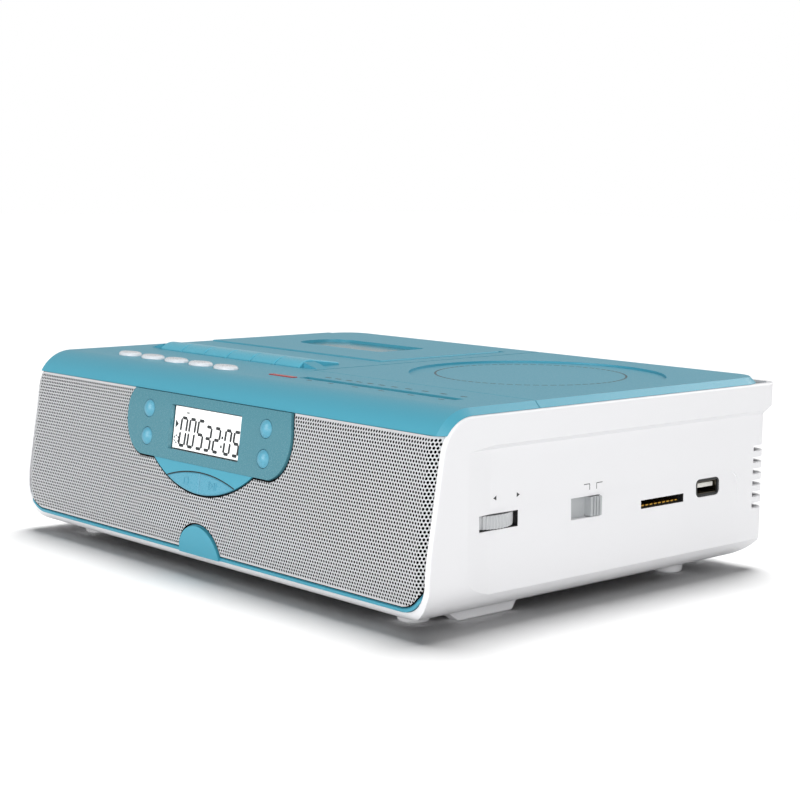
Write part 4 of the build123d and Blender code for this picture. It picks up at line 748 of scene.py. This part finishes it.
def front_matrix(depth):
    """Takes a shape drawn flat, facing up, to a depth under the leaning front."""
    along = Vector((1, 0, 0))
    up = Vector((0, math.sin(lean), math.cos(lean)))
    out = Vector((0, -math.cos(lean), math.sin(lean)))
    turned = Matrix((along, up, out)).transposed().to_4x4()
    return Matrix.Translation(Vector((0, nose_corner_y, nose_corner_z)) - out * depth) @ turned


def add_bar(bm, a, b, width, height=print_and_shade_height, point=0.0):
    """Flat bar from one place to another, its ends drawn to points if asked."""
    a, b = Vector(a), Vector(b)
    run = b - a
    made = bmesh.ops.create_grid(bm, x_segments=3 if point else 1, y_segments=2 if point else 1, size=0.5)
    # The grid reaches 0.5 each way: its ends close to a point and its inner lines move out to them.
    for vert in made["verts"]:
        if point and abs(vert.co.x) > 0.4:
            vert.co.y = 0 if abs(vert.co.y) > 0.1 else vert.co.y
        elif point:
            vert.co.x = math.copysign(0.5 - point / run.length, vert.co.x)
    turn = Matrix.Rotation(math.atan2(run.y, run.x), 4, "Z")
    place = Matrix.Translation(((a + b) / 2).to_3d())
    stretch = Matrix.Diagonal((run.length, width, 1, 1))
    bmesh.ops.transform(bm, matrix=place @ turn @ stretch, verts=made["verts"])
    bmesh.ops.remove_doubles(bm, verts=made["verts"], dist=1e-4)
    draw_out(bm, {face for vert in made["verts"] if vert.is_valid for face in vert.link_faces},
             (0, 0, height))


def add_figure(bm, figure, left, low, width, height):
    """One seven-segment figure, leaning a little to the right."""
    middle = low + height / 2
    right = left + width
    ends = {
        "a": ((left, low + height), (right, low + height)),
        "b": ((right, middle), (right, low + height)),
        "c": ((right, low), (right, middle)),
        "d": ((left, low), (right, low)),
        "e": ((left, low), (left, middle)),
        "f": ((left, middle), (left, low + height)),
        "g": ((left, middle), (right, middle)),
    }
    for name in segments_of[figure]:
        a, b = (Vector(end) for end in ends[name])
        a.x += (a.y - low) * figure_slant
        b.x += (b.y - low) * figure_slant
        shrink = (b - a).normalized() * segment_gap
        add_bar(bm, a + shrink, b - shrink, segment_width, point=segment_point)


def on_ring(middle, radius, turn):
    """Place on a ring, at a turn from the right."""
    return middle + Vector((math.cos(turn), math.sin(turn))) * radius


def display_figures():
    """A track number in tall figures and a playing time in lower ones, with three small signs."""
    bm = bmesh.new()
    for step, figure in track_figures.items():
        add_figure(bm, figure, figure_left + step, figure_low, track_width, track_height)
    for step, figure in time_figures.items():
        add_figure(bm, figure, figure_left + step, figure_low, time_width, time_height)
    for height in colon_heights:
        x = figure_left + colon_left + height * figure_slant
        up = figure_low + height
        add_bar(bm, (x - colon_size / 2, up), (x + colon_size / 2, up), colon_size)
    for i in range(play_bars):
        x = play_left + play_pitch * i
        add_bar(bm, (x, play_low + play_slope * i), (x, play_high - play_slope * i), play_pitch)
    for i in range(repeat_dashes):
        turn = 2 * math.pi * i / repeat_dashes
        a = on_ring(repeat_middle, repeat_radius, turn + repeat_start)
        b = on_ring(repeat_middle, repeat_radius, turn + repeat_end)
        add_bar(bm, a, b, repeat_width)
    for i in range(3):
        x = dots_left + dots_pitch * i
        add_bar(bm, (x, dots_up), (x + dot_length, dots_up), dot_width)
    bmesh.ops.transform(bm, matrix=front_matrix(lcd_depth), verts=bm.verts)
    return bm


def display_edge_shade():
    """Black band round the edge of the glass: painted shade of the bezel's recess."""
    bm = bmesh.new()
    low, high, half = lcd_low + edge_shade_inset, lcd_high - edge_shade_inset, lcd_half - edge_shade_inset
    for x in (-half, half):
        add_bar(bm, (x, low), (x, high), edge_shade_width, height=edge_shade_heights[0])
    for up in (low, high):
        add_bar(bm, (-half, up), (half, up), edge_shade_width, height=edge_shade_heights[1])
    bmesh.ops.transform(bm, matrix=front_matrix(lcd_depth), verts=bm.verts)
    return bm


segment_ink = print_and_shade_ink("liquid crystal segments", "#24282A")
painted_shade_ink = print_and_shade_ink("black painted shade", "#141617")
dress(lcd_glass(), "lcd_panel")
make_piece("display_figures", display_figures(), "root", segment_ink, crease=20)
# The black band round the panel is painted shade of the recess.
make_piece("display_edge_shade", display_edge_shade(), "root", painted_shade_ink, crease=20)


# Keys on the front
# Four domed round keys and the two halves of the lens key, moulded in a lighter blue.
# The lens keys carry a square, and a triangle with two bars;
# a dark line along their upper edge is painted shade of the gap round them.
lens_half = 22.0
lens_rise = 3.4
lens_lift = 0.4
seam_gap = 0.32
seam_shade_width = 0.4
sign_lift = 0.75
sign_height = 0.25
sign_width = 0.45
sign_up = bezel_low - 6.8
square_middle = -8.5
square_half = 1.3
triangle_back, triangle_tip = 6.6, 9.0
triangle_half = 1.4
bar_places = (10.0, 11.1)

light_blue_abs = moulded_abs("light blue ABS", "#57A2BA", roughness=0.30, depth=0.003, tone=0.03)
dress(light_blue_abs, "round_key_1", "round_key_2", "round_key_3", "round_key_4",
      "front_stop_key", "front_play_key")


def key_seam_shade():
    """Dark line along the upper edge of the two lens keys: painted shade of the gap round them."""
    bm = bmesh.new()
    tip = bezel_low - lobe_drop + lobe_radius - math.sqrt(lobe_radius ** 2 - lens_half ** 2)
    lens_radius = (lens_half ** 2 + lens_rise ** 2) / (2 * lens_rise)
    centre = tip + lens_rise - lens_radius
    radius = lens_radius + seam_gap
    reach = math.asin(lens_half / lens_radius)
    arc = [(radius * math.sin(a), centre + radius * math.cos(a)) for a in even_turns(-reach, reach, 32)]
    for a, b in zip(arc, arc[1:]):
        add_bar(bm, a, b, seam_shade_width)
    bmesh.ops.transform(bm, matrix=front_matrix(-lens_lift), verts=bm.verts)
    return bm


def closed_line(corners):
    """The runs from corner to corner and back to the first."""
    return [(corners[i - 1], corners[i]) for i in range(len(corners))]


def key_sign(name, bars, body):
    """Raised sign on a front key, moulded in one with it."""
    bm = bmesh.new()
    for a, b in bars:
        add_bar(bm, a, b, sign_width, height=sign_height)
    bmesh.ops.transform(bm, matrix=front_matrix(-sign_lift), verts=bm.verts)
    make_piece(name, bm, body, light_blue_abs, crease=20)


# Painted shade: a dark line where the gap round the lens keys lies in shade.
make_piece("key_seam_shade", key_seam_shade(), "root", painted_shade_ink, crease=20)

corner_ways = ((-1, -1), (1, -1), (1, 1), (-1, 1))
square = [(square_middle + square_half * x, sign_up + square_half * up) for x, up in corner_ways]
key_sign("stop_sign", closed_line(square), "front_stop_key_body")

sign_low, sign_high = sign_up - triangle_half, sign_up + triangle_half
triangle = [(triangle_back, sign_low), (triangle_back, sign_high), (triangle_tip, sign_up)]
two_bars = [((x, sign_low), (x, sign_high)) for x in bar_places]
key_sign("play_sign", closed_line(triangle) + two_bars, "front_play_key_body")


# Tuning wheel
# A light grey thumb wheel, finely ribbed round its rim, on a stub shaft.
wheel_low, wheel_high = (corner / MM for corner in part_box("tuning_wheel"))
wheel_centre = (wheel_low + wheel_high) / 2
wheel_radius = (wheel_high.x - wheel_low.x) / 2
wheel_thickness = 4.8
rib_count = 64
rib_depth = 0.5
rim_ease = 0.15
rim_rise = 0.4
shaft_radius = 1.5
shaft_overlap = 0.5


def ribbed_wheel():
    """Wheel drawn as one ring of ribs, drawn up and eased at both rims."""
    bm = bmesh.new()
    ring = bmesh.ops.create_circle(bm, cap_ends=True, radius=wheel_radius, segments=4 * rib_count)
    for vert in ring["verts"]:
        step = round(math.degrees(math.atan2(vert.co.y, vert.co.x)) / (360 / (4 * rib_count))) % 4
        if step in (2, 3):
            vert.co *= (wheel_radius - rib_depth) / wheel_radius
    bmesh.ops.inset_region(bm, faces=list(bm.faces), use_boundary=True, thickness=rim_ease, depth=rim_rise)
    below = draw_out(bm, bm.faces, (0, 0, wheel_thickness - 2 * rim_rise))
    bmesh.ops.scale(bm, vec=(1, 1, -1), verts=below)
    bmesh.ops.translate(bm, vec=(wheel_centre.x, wheel_centre.y, wheel_high.z - rim_rise), verts=bm.verts)
    shaft_length = wheel_high.z - wheel_thickness - wheel_low.z + shaft_overlap
    shaft_place = Matrix.Translation((wheel_centre.x, wheel_centre.y, wheel_low.z + shaft_length / 2))
    bmesh.ops.create_cone(bm, cap_ends=True, segments=24, radius1=shaft_radius, radius2=shaft_radius,
                          depth=shaft_length, matrix=shaft_place)
    return bm


wheel_plastic = moulded_abs("light grey ABS", "#C9CBCD", roughness=0.35, tone=0.05)
wheel = make_piece("ribbed_wheel", ribbed_wheel(), "tuning_wheel_body", wheel_plastic,
                   crease=25)
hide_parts("tuning_wheel")


# Band switch knob
# A pale grey slider with a ridged knob, which the thumb pushes along its window.
dress(moulded_abs("pale grey ABS", "#B4B7B9", roughness=0.38, tone=0.05), "band_switch_knob")


# Side sockets
# A black card slot with nine sprung gold contacts on its floor, and a USB socket: a dark nickel shell
# round a white tongue with four gold contacts under it.
dress(black_abs, "usb_socket", "sd_socket")

usb_low, usb_high = (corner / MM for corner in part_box("usb_socket"))
usb_middle_y = (usb_low.y + usb_high.y) / 2
usb_window_bottom = 33.7
usb_window_height = 7.2
usb_middle_z = usb_window_bottom + usb_window_height / 2
shell_width = 12.5
shell_height = 5.1
shell_corner = 0.6
shell_depth = 10.5
shell_wall = 0.3
shell_mouth = usb_high.x - 0.6
tongue_x = (usb_high.x - shell_depth + 0.2, usb_high.x - 1.5)
tongue_width = 10.6
tongue_height = 1.8
tongue_rise = 0.75
tongue_ease = 0.2
tongue_bottom = usb_middle_z + tongue_rise - tongue_height / 2
contact_x = (usb_high.x - 9.0, usb_high.x - 2.2)
contact_z = (tongue_bottom - 0.08, tongue_bottom + 0.02)
contact_pitch = 2.3
contact_half = 0.5
contact_ease = 0.02

card_low, card_high = (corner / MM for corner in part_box("sd_socket"))
card_middle_y = (card_low.y + card_high.y) / 2
card_contact_x = (card_high.x - 9.0, card_high.x + 0.8)
card_contact_z = (33.7, 34.3)
card_contact_pitch = 2.5
card_contact_half = 0.8
card_contact_ease = 0.04


def add_block(bm, x, y, z, ease=0.0):
    """Block between limits on each axis, its edges eased if asked."""
    size = [high - low for low, high in (x, y, z)]
    middle = [(high + low) / 2 for low, high in (x, y, z)]
    place = Matrix.Translation(middle) @ Matrix.Diagonal((*size, 1))
    made = bmesh.ops.create_cube(bm, size=1, matrix=place)
    if ease:
        edges = {edge for vert in made["verts"] for edge in vert.link_edges}
        bmesh.ops.bevel(bm, geom=list(edges), offset=ease, affect="EDGES", segments=2, profile=0.5,
                        material=-1)


def usb_shell():
    """Shell of the socket: a thin steel tube with rounded corners."""
    bm = bmesh.new()
    made = bmesh.ops.create_circle(bm, cap_ends=True, radius=1.0, segments=16)
    flat = Vector((shell_width / 2 - shell_corner, shell_height / 2 - shell_corner))
    for vert in made["verts"]:
        turn = math.atan2(vert.co.y, vert.co.x) + math.pi / 16
        across, up = math.cos(turn), math.sin(turn)
        y = usb_middle_y + math.copysign(flat.x, across) + shell_corner * across
        z = usb_middle_z + math.copysign(flat.y, up) + shell_corner * up
        vert.co = (shell_mouth, y, z)
    bm.normal_update()
    inset = bmesh.ops.inset_region(bm, faces=list(bm.faces), use_boundary=True, thickness=shell_wall)
    bmesh.ops.delete(bm, geom=[face for face in bm.faces if face not in inset["faces"]], context="FACES")
    draw_out(bm, bm.faces, (-shell_depth, 0, 0))
    return bm


def usb_tongue():
    """White tongue that stands in the shell, above its middle."""
    bm = bmesh.new()
    y = (usb_middle_y - tongue_width / 2, usb_middle_y + tongue_width / 2)
    add_block(bm, tongue_x, y, (tongue_bottom, tongue_bottom + tongue_height), ease=tongue_ease)
    return bm


def contact_row(count, middle, pitch, half, x, z, ease):
    """Row of like gold contacts, a pitch apart along y."""
    bm = bmesh.new()
    for i in range(count):
        y = middle + pitch * (i - (count - 1) / 2)
        add_block(bm, x, (y - half, y + half), z, ease=ease)
    return bm


gold = plated_steel("gold plate", "#D9A94C", roughness=0.25)
tongue_plastic = moulded_abs("white liquid-crystal polymer", "#E9E7E0", roughness=0.4)
dark_nickel = plated_steel("dark nickel plate", "#6A655B", roughness=0.3)
make_piece("usb_shell", usb_shell(), "root", dark_nickel)
make_piece("usb_tongue", usb_tongue(), "root", tongue_plastic)
usb_contacts = contact_row(4, usb_middle_y, contact_pitch, contact_half, contact_x, contact_z,
                           contact_ease)
make_piece("usb_contacts", usb_contacts, "root", gold)
card_contacts = contact_row(9, card_middle_y, card_contact_pitch, card_contact_half, card_contact_x,
                            card_contact_z, card_contact_ease)
make_piece("card_contacts", card_contacts, "root", gold)


# Window shade liners
# Thin black walls in the windows of the wheel and the card slot: painted shade of the dark gaps round
# them.
shade_liner_wall = 0.12
side_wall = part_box("lower_case")[1].x / MM
shade_liner_x = (side_wall - 3.9, side_wall - 2.05)
wheel_window_half = 10.0
wheel_window_z = (35.0, 40.8)
card_window_y = 28.25
card_window_half = 12.75
card_window_z = (33.2, 36.5)


def add_shade_liner(bm, middle, half, z):
    """Four thin black walls inside a window of the right wall, painted shade of the gap."""
    y = (middle - half, middle + half)
    add_block(bm, shade_liner_x, (y[0], y[0] + shade_liner_wall), z)
    add_block(bm, shade_liner_x, (y[1] - shade_liner_wall, y[1]), z)
    add_block(bm, shade_liner_x, y, (z[0], z[0] + shade_liner_wall))
    add_block(bm, shade_liner_x, y, (z[1] - shade_liner_wall, z[1]))


shade_liners = bmesh.new()
add_shade_liner(shade_liners, wheel_centre.y, wheel_window_half, wheel_window_z)
add_shade_liner(shade_liners, card_window_y, card_window_half, card_window_z)
# The black walls are painted shade of the gaps round the wheel and the card slot.
make_piece("window_shade_liners", shade_liners, "root", black_abs)


# Printed signs on the side
# Dark grey screen print: two small arrowheads over the wheel and two bent lines over the switch.
print_wall = 129.4
arrow_z = 46.4
arrowheads = ((-64.2, -62.6), (-51.4, -53.0))
switch_lines = ((-14.2, -1), (-10.4, 1))
line_low, line_high = 44.0, 46.2
line_run = 3.2
line_width = 0.28


def side_signs():
    """Signs drawn flat, along y and up z, and stood against the right wall."""
    bm = bmesh.new()
    for tip, back in arrowheads:
        made = bmesh.ops.create_circle(bm, cap_ends=True, segments=3, radius=1.0)
        turn = Matrix.Rotation(math.pi / 2 if tip < back else -math.pi / 2, 4, "Z")
        place = Matrix.Translation(((tip + back) / 2, arrow_z, 0))
        bmesh.ops.transform(bm, matrix=place @ turn, verts=made["verts"])
        draw_out(bm, {face for vert in made["verts"] for face in vert.link_faces}, (0, 0, print_and_shade_height))
    for y, way in switch_lines:
        add_bar(bm, (y, line_low), (y, line_high), line_width)
        add_bar(bm, (y, line_high), (y + way * line_run, line_high), line_width)
    turned = Matrix((Vector((0, 1, 0)), Vector((0, 0, 1)), Vector((1, 0, 0)))).transposed().to_4x4()
    bmesh.ops.transform(bm, matrix=Matrix.Translation((print_wall, 0, 0)) @ turned, verts=bm.verts)
    return bm


dark_ink = print_and_shade_ink("dark grey print", "#3A3B3D")
make_piece("side_signs", side_signs(), "root", dark_ink, crease=20)


# Top cover, oval keys, lamp and dial
# The cover is teal ABS like the front panel. White oval keys stand in it in a row,
# a red lamp lies in a slot, and the tuner's dial is a slot with a red needle under a clear strip.
dress(teal_abs, "top_cover", "cd_lid", "cassette_door")
dress(moulded_abs("glossy white ABS", "#DFE2E6", roughness=0.28, depth=0.002, tone=0.02),
      "oval_key_1", "oval_key_2", "oval_key_3", "oval_key_4", "oval_key_5")

styrene_ior = 1.49
ripple_size = 12.0
ripple_depth = 0.01
far_scale_y = -55.3
far_scale = (27.0, 33.0, 39.5, 45.5, 52.0, 58.5, 65.7, 73.6, 82.5, 92.5, 103.0)
far_tick_length, far_tick_width = 3.2, 1.1
near_scale_y = -67.4
near_scale = (30.0, 43.0, 57.0, 72.0, 88.0, 104.0)
near_tick_length, near_tick_width = 3.0, 0.8


def clear_plastic(name, code, roughness, clear):
    """Clear moulding with a slight ripple; clear is the share of light that it lets through."""
    material, tree, shader, place = new_material(name)
    ripple = add_node(tree, "ShaderNodeTexNoise", {"Vector": place, "Scale": 1 / (ripple_size * MM)})
    bump = add_node(tree, "ShaderNodeBump", {
        "Height": ripple.outputs["Fac"], "Distance": ripple_depth * MM})
    set_inputs(tree, shader, {
        "Base Color": colour(code), "Roughness": roughness, "Transmission Weight": clear,
        "IOR": styrene_ior, "Normal": bump.outputs[0]})
    return material


dress(clear_plastic("clear polystyrene", "#E8F3F5", roughness=0.03, clear=1.0), "dial_window")
dress(clear_plastic("red lamp lens", "#D6302A", roughness=0.25, clear=0.4), "power_lamp")
dress(moulded_abs("red pointer plastic", "#E23A2C", roughness=0.35), "dial_pointer")


def dial_marks():
    """Short printed ticks along both sides of the dial, the far ones longer and thicker."""
    bm = bmesh.new()
    for x in far_scale:
        add_bar(bm, (x, far_scale_y), (x + far_tick_length, far_scale_y), far_tick_width)
    for x in near_scale:
        add_bar(bm, (x, near_scale_y), (x + near_tick_length, near_scale_y), near_tick_width)
    bmesh.ops.translate(bm, vec=(0, 0, deck_z), verts=bm.verts)
    return bm


make_piece("dial_marks", dial_marks(), "root", dark_ink, crease=20)


# Cassette keys
# Six teal levers with curved fronts, side by side on one steel shaft.
dress(moulded_abs("glossy teal ABS", "#55B4CC", roughness=0.32, depth=0.002, tone=0.03),
      "record_key", "play_key", "rewind_key", "fast_forward_key", "stop_eject_key", "pause_key")
dress(bright_steel, "key_shaft", "guide_rods")


# Cassette door's window, and the mechanism under it
# The window is tinted blue-grey and lets little light through. The deck is pressed steel, with a
# rubber roller and belt, brass wheels and black moulded spindles.
dust_size = 1.5


def vulcanised_rubber():
    """Black rubber, dull and a little dusty, which lightens it in specks."""
    material, tree, shader, place = new_material("vulcanised rubber")
    tone = mottle(tree, place, dust_size, 4.0, colour("#161617"), colour("#2B2A29"))[1]
    set_inputs(tree, shader, {"Base Color": tone, "Roughness": 0.75})
    return material


dress(clear_plastic("smoke-tinted window", "#76A6B2", roughness=0.2, clear=0.2), "cassette_window")
dress(zinc_steel, "deck_chassis", "cd_chassis", "head_plate")
dress(plated_steel("motor can", "#A9ABAD", roughness=0.3), "deck_motor", "disc_motor")
dress(plated_steel("turned brass", "#C3A05C", roughness=0.25), "flywheel", "motor_pulley")
dress(vulcanised_rubber(), "drive_belt", "pinch_roller")
dress(black_abs, "supply_spindle", "takeup_spindle")


# Disc side
# A dark well holds the disc over a black turntable; the pickup looks up through a slot in it.
# The lid has a thin dashed ring printed in its recess, round the disc's middle.
disc_middle = Vector((61.5, 24.5))
ring_radius = 38.9
ring_dashes = 72
dash_turn = 2 * math.pi / 100
dash_width = 0.9
recess_depth = 0.9

dress(moulded_abs("charcoal ABS", "#3E4347", roughness=0.45, tone=0.08), "cd_well")
dress(black_abs, "turntable", "optical_pickup")


def lid_marks():
    """Dashed ring printed inside the lid's recess."""
    bm = bmesh.new()
    for i in range(ring_dashes):
        turn = 2 * math.pi * i / ring_dashes
        a = on_ring(disc_middle, ring_radius, turn)
        b = on_ring(disc_middle, ring_radius, turn + dash_turn)
        add_bar(bm, a, b, dash_width)
    bmesh.ops.translate(bm, vec=(0, 0, deck_z - recess_depth), verts=bm.verts)
    return bm


make_piece("lid_marks", lid_marks(), "cd_lid_body", dark_ink, crease=20)
